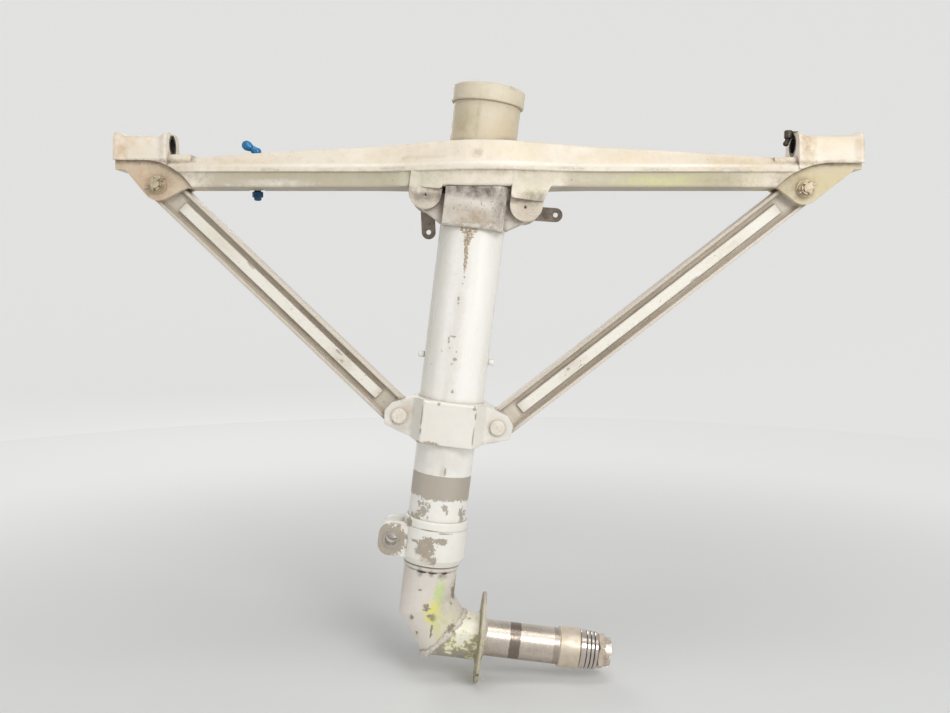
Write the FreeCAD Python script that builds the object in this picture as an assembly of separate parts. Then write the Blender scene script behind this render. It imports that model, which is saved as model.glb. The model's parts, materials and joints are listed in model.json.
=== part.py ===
import FreeCAD, Part
import math
import os

# Main landing gear leg of a light aircraft, in millimetres.
# A forged cross brace carries the leg on two trunnions.  Two diagonal braces tie it to a collar
# half way down the oleo barrel.  The piston slides and turns in the barrel and ends in a mitred
# elbow with the wheel axle.  The origin is where the trunnion axis crosses the barrel axis:
# +X runs along the trunnions, +Y to the rear, +Z up.  The barrel leans from +Z by the rake, and
# its pieces are drawn upright and then tilted.  "drop" is a distance down the barrel from the origin.

V = FreeCAD.Vector

# ---- driving dimensions: truss ----
rake = 7.1                      # lean of the barrel in the plane of the truss, degrees
fit_gap = 0.1                   # radial gap between pieces that are assembled and stay put
run_gap = 0.05                  # radial gap between pieces that slide or turn

trunnion_inner = 321.0          # origin to the inner face of each trunnion boss
left_boss_length = 54.0
right_boss_length = 66.0
boss_top = 9.0                  # saddle of the boss above the trunnion axis
boss_top_half = 16.5            # half width of the boss along its crown
boss_base_half = 21.4           # half width of the boss where it meets the lugs
boss_base = -26.0               # foot of the boss, before the lug recess
boss_corner = 9.0
boss_rim_rise = 3.2             # flare of the two rims
boss_rim_run = 10.0             # length over which the rim flares
trunnion_bore = 9.5             # radius that takes the bushes
trunnion_pin = 7.94             # radius of the hinge bolt
bush_head = 11.2                # radius of the bush flange
bush_head_thick = 3.0
grease_notch = 7.0              # width of the notch over the inner bush

beam_half = 22.0                # half depth of the cross brace at its shoulder
beam_bulge = 22.0               # extra half depth round the barrel
beam_bulge_run = 122.0          # distance over which the bulge fades out
beam_crown_half = 8.5           # half width of the crown away from the barrel
beam_crown_bulge = 28.0
beam_top_mid = 2.0
beam_top_end = -14.5
beam_top_power = 1.45
beam_shoulder = -22.5           # height of the shoulder line
beam_ledge = -28.5              # foot of the ledge, where the panel is let in
beam_panel_step = 2.4
beam_into_boss = 4.0            # how far the beam runs into the boss
beam_bottom = -44.5

lug_half = 16.0                 # half thickness over the two lug plates
lug_end_radius = 16.0
left_lug_x = trunnion_inner + 11.0
left_lug_z = -41.3
left_step_top = -16.8           # curved step between boss and lugs: its height and the arc that ends it
left_step_x = trunnion_inner + 24.0
left_step_radius = 56.5
right_lug_x = trunnion_inner + 8.5
right_lug_z = -45.6
right_step_top = -19.6
right_step_x = trunnion_inner + 35.0
right_step_radius = 78.0
lug_outer_margin = 8.0          # outer end of the boss to the lug's outer corner
lug_corner_drop = 7.0
lug_tip_x = trunnion_inner - 23.0

brace_width = 30.0
brace_half = 9.5                # half thickness of the diagonal brace
brace_flange = 3.4
brace_web_half = 3.4
brace_rib_width = 11.0
brace_rib_half = 7.6
brace_pad = 22.0                # bolt to the end of the milled pocket
brace_rib_start = 31.0          # bolt to the end of the raised rib
brace_bolt = 4.76               # radius of the joint bolts
brace_bush_wall = 1.6
slot_gap = 0.3                  # brace to lug cheek, each side
slot_clear = 2.4                # radial room round the end of a brace in the lugs
collar_slot_clear = 0.4         # the same in the collar

lobe_inner = 34.5               # lobes that reach down beside the barrel head
lobe_outer = 68.0               # the outer side of the lobes
lobe_drop = 52.0
lobe_fillet = 8.0
tongue_x = 51.5
tongue_drop = 57.0
tongue_radius = 16.7
tongue_outer_y = 30.0
tongue_inner_y = 23.0
roll_pin_radius = 1.9
roll_pin_bore = 1.0
roll_pin_depth = 16.0
roll_pin_drop = 59.5

# ---- driving dimensions: barrel ----
upper_radius = 33.8
lower_radius = 30.9
barrel_top_drop = -8.0
barrel_bore = 27.9
gland_bore = 28.9
gland_drop = 384.0              # top of the gland; the seal, collar and elbow hang from it

cap_radius = 34.5
cap_rim_radius = 37.3
cap_top_drop = -58.0
cap_rim_drop = cap_top_drop + 17.5
cap_recess = 28.0
cap_floor = 9.0
cap_spigot = 20.0
cap_groove_drop = 4.0
valve_hex = 17.5
valve_length = 24.0

saddle_half = 31.0
saddle_front = 38.0
saddle_gap = 0.3                # block to the bottom of the cross brace
saddle_ear_top = 54.8
saddle_end_drop = 87.0
saddle_chamfer = 7.5
saddle_ear_reach = 65.0
saddle_ear_drop = 66.0
saddle_ear_root = 84.0

collar_top_drop = 265.5
collar_end_drop = collar_top_drop + 44.5
barrel_step_drop = collar_top_drop + 32.5
collar_face = 39.0
collar_panel_half = 27.0
collar_side = 38.5
collar_ear_inner = brace_half + slot_gap
collar_ear_outer = 16.0
collar_ear_reach = 67.5
collar_bolt_x = 51.6
collar_bolt_drop = collar_top_drop + 22.5
collar_chamfer = 2.6

peg_radius = 3.3
peg_reach = 40.2
peg_drop = 222.0

gland_play = 0.5
gland_bearing_length = 32.0
seal_drop = gland_drop + gland_play + gland_bearing_length + 4.5
wiper_drop = seal_drop + 4.5
wiper_length = 4.5
snap_ring_thick = 2.0
lower_ring_drop = wiper_drop + wiper_length + 1.5
barrel_end_drop = lower_ring_drop + snap_ring_thick + 3.5

link_collar_radius = 34.4
link_collar_height = 48.0
link_collar_end = barrel_end_drop + 3.0
link_collar_top = link_collar_end - link_collar_height
link_band = 9.0
link_band_groove = 0.9
link_lug_x = 44.6
link_lug_drop = link_collar_end - 21.5
link_lug_reach = 58.1
link_lug_half_height = 17.0
link_lug_corner = 12.5
link_lug_outer = 20.0
link_lug_inner = 8.0
link_pin = 6.35
link_bush_wall = 1.7
link_bush_head = 2.0

# ---- driving dimensions: piston ----
piston_radius = 25.4
piston_bore = 21.4
piston_top_drop = 150.0
piston_neck_radius = 23.0
bearing_top_drop = piston_top_drop + 5.0
bearing_length = 33.0

elbow_gap = 1.0                 # collar to the top of the elbow, leg fully compressed
elbow_top_drop = link_collar_end + elbow_gap
orifice_tube_radius = 10.0
orifice_tube_bore = 8.0
orifice_radius = 4.2
metering_base_drop = elbow_top_drop + 11.0
orifice_tube_end = metering_base_drop - 27.0
metering_base_thick = 8.0
metering_radius = 3.4
metering_tip_radius = 2.4
metering_length = 182.0

elbow_radius = 28.4
elbow_lip_radius = 29.7
elbow_lip_length = 5.0
elbow_socket_end = elbow_top_drop + 51.0
elbow_heel_drop = elbow_top_drop + 58.0
elbow_throat_drop = elbow_top_drop + 34.0
axle_drop = elbow_top_drop + 77.2
root_radius = 24.6
weld_heel_x = 2.0               # ends of the slanted weld between elbow and axle
weld_throat_x = 42.0
foot_lug_y = 44.6
foot_lug_drop = elbow_top_drop + 30.0
foot_lug_radius = 14.0
foot_lug_outer = 20.0
foot_lug_inner = 10.0

flange_x = 60.5
flange_thick = 3.2
flange_radius = 47.4
flange_bolt_circle = 39.0
flange_bolt_radius = 4.0
flange_bolts = 4
flange_hub_width = 1.6
journal_start = flange_x + flange_thick + 4.8
journal_radius = 19.05
journal_end = 168.8
spacer_length = 21.8
spacer_start = journal_end - spacer_length
spacer_radius = 21.3
washer_start = journal_end + 0.2
washer_thick = 6.6
ring_start = washer_start + washer_thick + 0.4
ring_thick = 3.6
ring_count = 3
ring_pitch = 4.2
ring_radius = 20.6
nut_start = ring_start + ring_count * ring_pitch + 0.4
nut_hex_length = 6.8
nut_crown_length = 6.8
nut_flats = 34.0
nut_crown_radius = 15.4
nut_slots = 6
thread_radius = 12.7
axle_end = nut_start + nut_hex_length + nut_crown_length - 1.6
axle_bore = 8.5


# ---- small tools ----
def front(y):
    """Point maker for an outline drawn in the X-Z plane at depth y."""
    return lambda u, v: V(u, y, v)


def side(x):
    """Point maker for an outline drawn in the Y-Z plane at x."""
    return lambda u, v: V(x, u, v)


def plan(z):
    """Point maker for an outline drawn in the X-Y plane at height z."""
    return lambda u, v: V(u, v, z)


def rounded_wire(corners, place):
    """Closed wire through (u, v, radius) corners, with an arc where the radius isn't 0."""
    edges = []
    joints = []
    count = len(corners)
    for i in range(count):
        u, v, radius = corners[i]
        here = FreeCAD.Vector(u, v, 0)
        before = V(corners[i - 1][0], corners[i - 1][1], 0) - here
        after = V(corners[(i + 1) % count][0], corners[(i + 1) % count][1], 0) - here
        if radius == 0:
            joints.append((here, here, here))
            continue
        before.normalize()
        after.normalize()
        half = before.getAngle(after) / 2
        reach = radius / math.tan(half)
        middle = before + after
        middle.normalize()
        arc_point = here + middle * (radius / math.sin(half) - radius)
        joints.append((here + before * reach, arc_point, here + after * reach))
    for i in range(count):
        start, middle, end = [place(p.x, p.y) for p in joints[i]]
        if start.distanceToPoint(end) > 1e-6:
            edges.append(Part.Arc(start, middle, end).toShape())
        following = place(joints[(i + 1) % count][0].x, joints[(i + 1) % count][0].y)
        if end.distanceToPoint(following) > 1e-6:
            edges.append(Part.LineSegment(end, following).toShape())
    return Part.Wire(edges)


def plate(corners, near, far):
    """Front-view outline made solid between two depths."""
    face = Part.Face(rounded_wire(corners, front(near)))
    return face.extrude(V(0, far - near, 0))


def slab(corners, low, high):
    """Plan-view outline made solid between two heights."""
    face = Part.Face(rounded_wire(corners, plan(low)))
    return face.extrude(V(0, 0, high - low))


def turned(profile):
    """Solid of revolution about Z from (radius, height) points."""
    corners = [(radius, height, 0) for radius, height in profile]
    face = Part.Face(rounded_wire(corners, front(0)))
    return face.revolve(V(0, 0, 0), V(0, 0, 1), 360)


def tube(outer, inner, low, high):
    """Plain ring about Z."""
    return turned([(inner, low), (outer, low), (outer, high), (inner, high)])


def rod(radius, start, end):
    """Cylinder from one point to another."""
    axis = end - start
    return Part.makeCylinder(radius, axis.Length, start, axis)


def hexagon(flats, low, high):
    """Hexagonal prism about Z."""
    corner = flats / math.sqrt(3)
    angles = [math.radians(60 * i) for i in range(6)]
    corners = [(corner * math.cos(a), corner * math.sin(a), 0) for a in angles]
    return slab(corners, low, high)


def pointed(shape, origin, direction):
    """Move a piece drawn about +Z so that it starts at origin and points along direction."""
    moved = shape.copy()
    turn = FreeCAD.Rotation(V(0, 0, 1), direction)
    moved.Placement = FreeCAD.Placement(origin, turn).multiply(moved.Placement)
    return moved


def raked(shape):
    """Tilt a piece drawn about the upright axis onto the barrel axis."""
    moved = shape.copy()
    moved.rotate(V(0, 0, 0), V(0, 1, 0), rake)
    return moved


def raked_point(x, y, z):
    angle = math.radians(rake)
    return V(x * math.cos(angle) + z * math.sin(angle), y, z * math.cos(angle) - x * math.sin(angle))


def upright_point(x, z):
    """Where a point of the truss lies in the barrel's own upright frame."""
    angle = math.radians(rake)
    return x * math.cos(angle) - z * math.sin(angle), x * math.sin(angle) + z * math.cos(angle)


def mirrored_x(shape):
    return shape.mirror(V(0, 0, 0), V(1, 0, 0))


def mirrored_y(shape):
    return shape.mirror(V(0, 0, 0), V(0, 1, 0))


def joined(shapes):
    """One solid from several that overlap."""
    return shapes[0].multiFuse(shapes[1:]).removeSplitter()


def cut_all(body, cutters):
    for cutter in cutters:
        body = body.cut(cutter)
    return body


def tangent_point(centre, radius, point, turn):
    """Where the line from a point touches a circle, on the side given by turn (+1 or -1)."""
    du = point[0] - centre[0]
    dv = point[1] - centre[1]
    distance = math.hypot(du, dv)
    angle = math.atan2(dv, du) + turn * math.acos(radius / distance)
    return centre[0] + radius * math.cos(angle), centre[1] + radius * math.sin(angle)


def save(name, shapes):
    """Write one node; a list becomes one group of separate solids."""
    shape = Part.makeCompound(shapes) if isinstance(shapes, list) else shapes
    shape.exportStep(os.path.join("parts", name + ".step"))
    print(name, "solids", len(shape.Solids), "valid", shape.isValid(), "volume", round(shape.Volume))


# ---- cross brace ----
sides = {
    "left": dict(sign=-1, length=left_boss_length, bolt=(left_lug_x, left_lug_z),
                 step_top=left_step_top, step_x=left_step_x, step_radius=left_step_radius),
    "right": dict(sign=1, length=right_boss_length, bolt=(right_lug_x, right_lug_z),
                  step_top=right_step_top, step_x=right_step_x, step_radius=right_step_radius),
}


def bulge(x):
    """1 at the barrel, fading to 0 along the brace."""
    if abs(x) >= beam_bulge_run:
        return 0.0
    return 0.5 + 0.5 * math.cos(math.pi * x / beam_bulge_run)


def beam_depth(x):
    return beam_half + beam_bulge * bulge(x)


def beam_section(x):
    """Cross section of the forging: crown, sloping face, ledge, let-in panel."""
    fall = (abs(x) / trunnion_inner) ** beam_top_power
    top = beam_top_mid + (beam_top_end - beam_top_mid) * fall
    crown = beam_crown_half + beam_crown_bulge * bulge(x)
    deep = beam_depth(x)
    panel = deep - beam_panel_step
    half = [(crown, top, 4.0), (deep, beam_shoulder, 2.5), (deep, beam_ledge, 1.0),
            (panel, beam_ledge - 1.2, 0.8), (panel, beam_bottom, 3.0)]
    other = [(-u, v, radius) for u, v, radius in reversed(half)]
    return rounded_wire(half + other, side(x))


def beam_body():
    reach = trunnion_inner + beam_into_boss
    outer = [beam_bulge_run + (trunnion_inner - beam_bulge_run) * share for share in (0.4, 0.7)]
    stations = [-reach, -outer[1], -outer[0], -beam_bulge_run]
    stations += [beam_bulge_run * i / 7 for i in range(-6, 7)]
    stations += [beam_bulge_run, outer[0], outer[1], reach]
    return Part.makeLoft([beam_section(x) for x in stations], True, True)


def boss_section(x, rise):
    corners = [(boss_base_half + rise * 0.5, boss_base, 0), (boss_top_half + rise, boss_top + rise, boss_corner),
               (-boss_top_half - rise, boss_top + rise, boss_corner), (-boss_base_half - rise * 0.5, boss_base, 0)]
    return rounded_wire(corners, side(x))


def boss_body(length):
    """Saddle-backed trunnion boss with a flared rim at each end."""
    flare = [(0, 1.0), (3.0, 1.0), (5.5, 0.62), (8.0, 0.2), (boss_rim_run, 0.0)]
    near = [(x, rise) for x, rise in flare]
    far = [(length - x, rise) for x, rise in reversed(flare)]
    wires = [boss_section(trunnion_inner + x, rise * boss_rim_rise) for x, rise in near + far]
    return Part.makeLoft(wires, True, True)


def lug_recesses(length, data):
    """Room in front of and behind the lug plates, ended by the curved step."""
    sign = data["sign"]
    outer = trunnion_inner + length + 5
    radius = data["step_radius"]
    top = data["step_top"]
    cuts = []
    for near, far in ((-60, -lug_half), (lug_half, 60)):
        centre = V(sign * data["step_x"], near, top - radius)
        disc = rod(radius, centre, centre + V(0, far - near, 0))
        low = min(sign * data["step_x"], sign * outer)
        beyond = Part.makeBox(outer - data["step_x"], far - near, 80, V(low, near, top - 80))
        cuts.append(disc.fuse(beyond))
    return cuts


def lug_body(length, data):
    """Pair of lug plates as one thickness; the brace slot is cut later."""
    bolt = data["bolt"]
    corner = (trunnion_inner + length - lug_outer_margin, data["step_top"] - lug_corner_drop)
    tip = (lug_tip_x, beam_bottom + 2.5)
    outer_touch = tangent_point(bolt, lug_end_radius, corner, -1)
    inner_touch = tangent_point(bolt, lug_end_radius, tip, 1)
    corners = [(corner[0], data["step_top"] + 6, 0), (corner[0], corner[1], 2.0),
               (outer_touch[0], outer_touch[1], 0), (inner_touch[0], inner_touch[1], 0),
               (tip[0], tip[1], 0), (tip[0], data["step_top"] + 6, 0)]
    web = plate(corners, -lug_half, lug_half)
    disc = rod(lug_end_radius, V(bolt[0], -lug_half, bolt[1]), V(bolt[0], lug_half, bolt[1]))
    return joined([web, disc])


def lower_bolt(sign):
    point = raked_point(sign * collar_bolt_x, 0, -collar_bolt_drop)
    return (point.x, point.z)


def brace_line(data):
    """Start, direction and length of a diagonal brace, bolt to bolt."""
    start = V(data["sign"] * data["bolt"][0], 0, data["bolt"][1])
    end_x, end_z = lower_bolt(data["sign"])
    axis = V(end_x, 0, end_z) - start
    return start, axis, axis.Length


def along_brace(shape, data):
    """Place a piece drawn along +X from the upper bolt onto the brace's line."""
    start, axis, length = brace_line(data)
    moved = shape.copy()
    turn = math.degrees(math.atan2(-axis.z, axis.x))
    moved.rotate(V(0, 0, 0), V(0, 1, 0), turn)
    moved.translate(start)
    return moved


def brace_slot(data, at_collar=False):
    """Room for one end of a diagonal brace, open along the brace."""
    radius = brace_width / 2 + (collar_slot_clear if at_collar else slot_clear)
    half = brace_half + slot_gap
    length = brace_line(data)[2]
    x = length if at_collar else 0
    disc = rod(radius, V(x, -half, 0), V(x, half, 0))
    run = Part.makeBox(90, 2 * half, 2 * radius, V(x - 90 if at_collar else 0, -half, -radius))
    return along_brace(joined([disc, run]), data)


def plan_body():
    """Upright body that follows the panel of the brace, used to trim the lobes."""
    steps = [beam_bulge_run * i / 8 for i in range(-8, 9)]
    near = [(x, -(beam_depth(x) - beam_panel_step)) for x in steps]
    far = [(x, -y) for x, y in reversed(near)]
    curve = Part.BSplineCurve()
    curve.interpolate([V(x, y, -110) for x, y in near])
    back = Part.BSplineCurve()
    back.interpolate([V(x, y, -110) for x, y in far])
    ends = [Part.LineSegment(V(near[-1][0], near[-1][1], -110), V(far[0][0], far[0][1], -110)),
            Part.LineSegment(V(far[-1][0], far[-1][1], -110), V(near[0][0], near[0][1], -110))]
    wire = Part.Wire([curve.toShape(), ends[0].toShape(), back.toShape(), ends[1].toShape()])
    return Part.Face(wire).extrude(V(0, 0, 95))


def lobe_pair(sign):
    """Skirt and tongue on one side of the barrel head, in front and behind."""
    level_x, level_z = upright_point(sign * (lobe_outer + 16), beam_bottom + 1.0)
    corner_x, corner_z = upright_point(sign * (lobe_outer + 1), beam_bottom + 1.0)
    corners = [(sign * lobe_inner, -15, 0), (sign * lobe_inner, -lobe_drop, 4.0),
               (sign * lobe_outer, -lobe_drop, 5.0)]
    if lobe_drop > -corner_z + lobe_fillet * 0.6:
        corners.append((corner_x, corner_z, lobe_fillet * 0.5))
    corners += [(level_x, level_z, 0), (level_x, -15, 0)]
    skirt = raked(plate(corners, -80, 80)).common(plan_body())
    hollow = Part.makeBox(2 * lobe_outer + 60, 2 * tongue_inner_y, 80,
                          V(-lobe_outer - 30, -tongue_inner_y, beam_bottom - 80))
    skirt = skirt.cut(hollow)
    x = sign * tongue_x
    tongue = rod(tongue_radius, V(x, -tongue_outer_y, -tongue_drop), V(x, -tongue_inner_y, -tongue_drop))
    stem = plate([(x - tongue_radius, -30, 0), (x + tongue_radius, -30, 0),
                  (x + tongue_radius, -tongue_drop, 0), (x - tongue_radius, -tongue_drop, 0)],
                 -tongue_outer_y, -tongue_inner_y)
    tongue = raked(joined([tongue, stem]))
    return [skirt, tongue, mirrored_y(tongue)]


def roll_pin_places():
    return [(sign * (tongue_x - 0.8), -1) for sign in (-1, 1)]


def roll_pin_hole(x, face):
    start = V(x, face * (tongue_outer_y + 1), -roll_pin_drop)
    end = V(x, face * (tongue_outer_y - roll_pin_depth), -roll_pin_drop)
    return raked(rod(roll_pin_radius, start, end))


fitting_x = -238.0
fitting_y = 18.0
fitting_arm_lean = 58.0         # arm from the vertical, degrees
fitting_arm_rise = 14.5         # web to the knuckle of the arm
fitting_channel = 18.0
fitting_web_top = -18.0
fitting_web_thick = 5.0
fitting_thread = 3.9


def fitting_channels():
    """Open channel in the rear face, interrupted by the web that carries the hydraulic union."""
    low_x = fitting_x - fitting_channel / 2
    upper = Part.makeBox(fitting_channel, 30, 40, V(low_x, fitting_y - 7.5, fitting_web_top))
    lower = Part.makeBox(fitting_channel, 30, 40,
                         V(low_x, fitting_y - 7.5, fitting_web_top - fitting_web_thick - 40))
    centre = V(fitting_x, fitting_y, fitting_web_top)
    hole = rod(fitting_thread + fit_gap, centre - V(0, 0, 15), centre + V(0, 0, 15))
    return [upper, lower, hole]


def grease_notch_box(sign, low):
    """Slot through the crown of the inner rim, down to height low."""
    depth = bush_head_thick + 2.5
    start = trunnion_inner if sign > 0 else -trunnion_inner - depth
    return Part.makeBox(depth, grease_notch, 30, V(start, -grease_notch / 2, low))


def cross_brace():
    solids = [beam_body()]
    cutters = []
    for data in sides.values():
        parts = [boss_body(data["length"]), lug_body(data["length"], data)]
        if data["sign"] < 0:
            parts = [mirrored_x(part) for part in parts]
        solids += parts
        sign = data["sign"]
        inner = sign * trunnion_inner
        outer = sign * (trunnion_inner + data["length"])
        step = V(sign * bush_head_thick, 0, 0)
        cutters.append(rod(trunnion_bore, V(inner - 5 * sign, 0, 0), V(outer + 5 * sign, 0, 0)))
        cutters.append(rod(bush_head + fit_gap, V(inner - 14 * sign, 0, 0), V(inner, 0, 0) + step))
        cutters.append(rod(bush_head + fit_gap, V(outer, 0, 0) - step, V(outer + sign * 5, 0, 0)))
        cutters.append(grease_notch_box(sign, 0))
        cutters.append(brace_slot(data))
        cutters += lug_recesses(data["length"], data)
        bolt = V(sign * data["bolt"][0], 0, data["bolt"][1])
        cutters.append(rod(brace_bolt + fit_gap, bolt - V(0, 40, 0), bolt + V(0, 40, 0)))
    for sign in (-1, 1):
        solids += lobe_pair(sign)
    cutters.append(raked(rod(cap_radius + fit_gap, V(0, 0, -100), V(0, 0, 60))))
    cutters += [roll_pin_hole(x, face) for x, face in roll_pin_places()]
    cutters += [bracket_screw_shank(x, z, bracket_screw + fit_gap) for x, z in bracket_roots()]
    cutters += fitting_channels()
    return cut_all(joined(solids), cutters)


def trunnion_bushes(data):
    """Two flanged bushes that meet in the middle of the boss."""
    half = data["length"] / 2
    outer = trunnion_bore - fit_gap
    profile = [(trunnion_pin, 0), (bush_head, 0), (bush_head, bush_head_thick), (outer, bush_head_thick),
               (outer, half), (trunnion_pin, half)]
    bush = turned(profile)
    inner_face = V(data["sign"] * trunnion_inner, 0, 0)
    outer_face = V(data["sign"] * (trunnion_inner + data["length"]), 0, 0)
    outward = V(data["sign"], 0, 0)
    notch = grease_notch_box(data["sign"], trunnion_pin + fit_gap)
    return [pointed(bush, inner_face, outward).cut(notch), pointed(bush, outer_face, outward * -1)]


def grease_elbow():
    """Angled grease nipple screwed in over the right-hand inner bush."""
    seat = rod(grease_notch / 2 - fit_gap, V(-1.0, 0, 0), V(5.0, 0, 0))
    block = turned([(0, -4.2), (3.4, -4.2), (4.2, -3.4), (4.2, 3.4), (3.4, 4.2), (0, 4.2)])
    block.translate(V(-4.6, 0, 0))
    neck = rod(2.4, V(-4.6, 0, -4), V(-6.6, 0, -8.5))
    ball = Part.makeSphere(2.9, V(-6.9, 0, -9.2))
    nipple = joined([seat, block, neck, ball])
    nipple.translate(V(trunnion_inner, 0, bush_head + 0.4))
    return nipple


# ---- diagonal braces ----
def diagonal_brace(data):
    """Forged bar with edge flanges, a web and a raised rib that stops short of the bolt pads."""
    start, axis, length = brace_line(data)
    half = brace_width / 2
    bar = plate([(0, -half, 0), (length, -half, 0), (length, half, 0), (0, half, 0)], -brace_half, brace_half)
    ends = [rod(half, V(x, -brace_half, 0), V(x, brace_half, 0)) for x in (0, length)]
    body = joined([bar] + ends)
    inner = half - brace_flange
    low = brace_pad
    high = length - brace_pad
    slant = 7.0
    pocket_corners = [(low, -inner, 3.0), (high - slant, -inner, 3.0), (high, inner, 3.0), (low + slant, inner, 3.0)]
    rib_low = brace_rib_start
    rib_high = length - brace_rib_start
    rib = brace_rib_width / 2
    rib_corners = [(rib_low, -rib, 0.6), (rib_high - rib, -rib, 0.6), (rib_high, rib, 0.6), (rib_low + rib, rib, 0.6)]
    for face in (-1, 1):
        pocket = plate(pocket_corners, face * brace_web_half, face * (brace_half + 1))
        body = body.cut(pocket)
        body = body.fuse(plate(rib_corners, face * brace_web_half * 0.9, face * brace_rib_half))
    holes = [rod(brace_bolt + brace_bush_wall, V(x, -20, 0), V(x, 20, 0)) for x in (0, length)]
    return along_brace(cut_all(body, holes).removeSplitter(), data)


def brace_bushes():
    bushes = []
    for data in sides.values():
        start, axis, length = brace_line(data)
        for x in (0, length):
            outer = rod(brace_bolt + brace_bush_wall - fit_gap, V(x, -brace_half, 0), V(x, brace_half, 0))
            inner = rod(brace_bolt + fit_gap, V(x, -20, 0), V(x, 20, 0))
            bushes.append(along_brace(outer.cut(inner), data))
    return bushes


# ---- joint hardware ----
washer_radius = 9.2
washer_thick_small = 1.6
nut_flats_small = 14.3
nut_height_small = 9.0
nut_slot_width = 2.4
nut_slot_depth = 3.4
cotter_below_crown = 1.5
head_radius = 7.85
head_height = 4.6
bolt_overhang = 1.6


def castle_nut(flats, bore, hex_height, crown_radius, crown_height, slots, slot_width):
    """Castellated nut about Z, crown up."""
    body = hexagon(flats, 0, hex_height)
    chamfer = turned([(0, 0), (flats * 0.5 + 0.3, 0), (flats * 0.58, flats * 0.045),
                      (flats * 0.58, hex_height - flats * 0.045), (flats * 0.5 + 0.3, hex_height), (0, hex_height)])
    body = body.common(chamfer)
    crown = tube(crown_radius, bore, hex_height, hex_height + crown_height)
    body = body.cut(rod(bore, V(0, 0, -1), V(0, 0, hex_height + 1))).fuse(crown)
    for i in range(slots // 2):
        slot = Part.makeBox(4 * crown_radius, slot_width, crown_height + 1,
                            V(-2 * crown_radius, -slot_width / 2, hex_height + crown_height * 0.25))
        slot.rotate(V(0, 0, 0), V(0, 0, 1), i * 360 / slots + 30)
        body = body.cut(slot)
    return body.removeSplitter()


def upper_stack(data):
    """Heights along the upper joint bolt, from the lug's rear face forward."""
    bolt = V(data["sign"] * data["bolt"][0], 0, data["bolt"][1])
    return bolt, V(0, -1, 0)


def upper_bolts():
    bolts = []
    length = 2 * lug_half + washer_thick_small + nut_height_small + bolt_overhang
    for data in sides.values():
        centre, forward = upper_stack(data)
        head = hexagon(nut_flats_small, -5.0, 0)
        shank = rod(brace_bolt, V(0, 0, -0.5), V(0, 0, length))
        bolt = joined([head, shank])
        pin_height = 2 * lug_half + washer_thick_small + nut_height_small - cotter_below_crown
        hole = rod(1.1, V(-10, 0, pin_height), V(10, 0, pin_height))
        hole.rotate(V(0, 0, 0), V(0, 0, 1), 30)
        bolts.append(pointed(bolt.cut(hole), centre + V(0, lug_half, 0), forward))
    return bolts


def upper_washers():
    ring = tube(washer_radius, brace_bolt + fit_gap, 0, washer_thick_small)
    return [pointed(ring, upper_stack(data)[0] - V(0, lug_half, 0), V(0, -1, 0)) for data in sides.values()]


def upper_nuts():
    nut = castle_nut(nut_flats_small, brace_bolt + fit_gap, nut_height_small - nut_slot_depth, 6.6,
                     nut_slot_depth, 6, nut_slot_width)
    seat = lug_half + washer_thick_small
    return [pointed(nut, upper_stack(data)[0] - V(0, seat, 0), V(0, -1, 0)) for data in sides.values()]


def upper_cotters():
    """Split pins through nut slot and bolt, with the legs bent round the nut."""
    pins = []
    height = nut_height_small - cotter_below_crown
    for data in sides.values():
        shank = rod(0.95, V(-8.2, 0, height), V(8.6, 0, height))
        eye = Part.makeTorus(1.7, 0.8, V(-9.6, 0, height), V(0, 1, 0))
        leg = rod(0.7, V(8.4, 0, height), V(9.6, 0.2, height - 4.2))
        pin = joined([shank, eye, leg])
        pin.rotate(V(0, 0, 0), V(0, 0, 1), 30)
        seat = upper_stack(data)[0] - V(0, lug_half + washer_thick_small, 0)
        pins.append(pointed(pin, seat, V(0, -1, 0)))
    return pins


def lower_places():
    return [raked_point(sign * collar_bolt_x, 0, -collar_bolt_drop) for sign in (-1, 1)]


def lower_bolts():
    """Round-headed bolts, heads in front."""
    length = 2 * collar_ear_outer + washer_thick_small + nut_height_small + bolt_overhang
    head = turned([(0, -head_height), (head_radius - 1.0, -head_height), (head_radius, -head_height + 1.0),
                   (head_radius, 0), (0, 0)])
    bolt = joined([head, rod(brace_bolt, V(0, 0, -0.5), V(0, 0, length))])
    return [pointed(bolt, place - V(0, collar_ear_outer, 0), V(0, 1, 0)) for place in lower_places()]


def lower_washers():
    ring = tube(washer_radius, brace_bolt + fit_gap, 0, washer_thick_small)
    return [pointed(ring, place + V(0, collar_ear_outer, 0), V(0, 1, 0)) for place in lower_places()]


def lower_nuts():
    """Self-locking nuts behind the collar."""
    body = hexagon(nut_flats_small, 0, 6.0)
    crown = tube(6.4, brace_bolt + fit_gap, 5.0, nut_height_small)
    nut = body.cut(rod(brace_bolt + fit_gap, V(0, 0, -1), V(0, 0, 20))).fuse(crown).removeSplitter()
    seat = V(0, collar_ear_outer + washer_thick_small, 0)
    return [pointed(nut, place + seat, V(0, 1, 0)) for place in lower_places()]


# ---- barrel and what sits on it ----
def barrel():
    groove_top = lower_ring_drop - 0.2
    groove_end = lower_ring_drop + snap_ring_thick + 0.2
    profile = [(barrel_bore, -barrel_top_drop), (upper_radius, -barrel_top_drop),
               (upper_radius, -barrel_step_drop), (lower_radius, -barrel_step_drop - 3),
               (lower_radius, -barrel_end_drop), (gland_bore, -barrel_end_drop),
               (gland_bore, -groove_end), (gland_bore + 0.9, -groove_end),
               (gland_bore + 0.9, -groove_top), (gland_bore, -groove_top),
               (gland_bore, -gland_drop), (barrel_bore, -gland_drop)]
    body = turned(profile)
    for sign in (-1, 1):
        hole = rod(peg_radius - 0.8, V(sign * (barrel_bore + 2), 0, -peg_drop), V(sign * 45, 0, -peg_drop))
        body = body.cut(hole)
    return raked(body)


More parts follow.
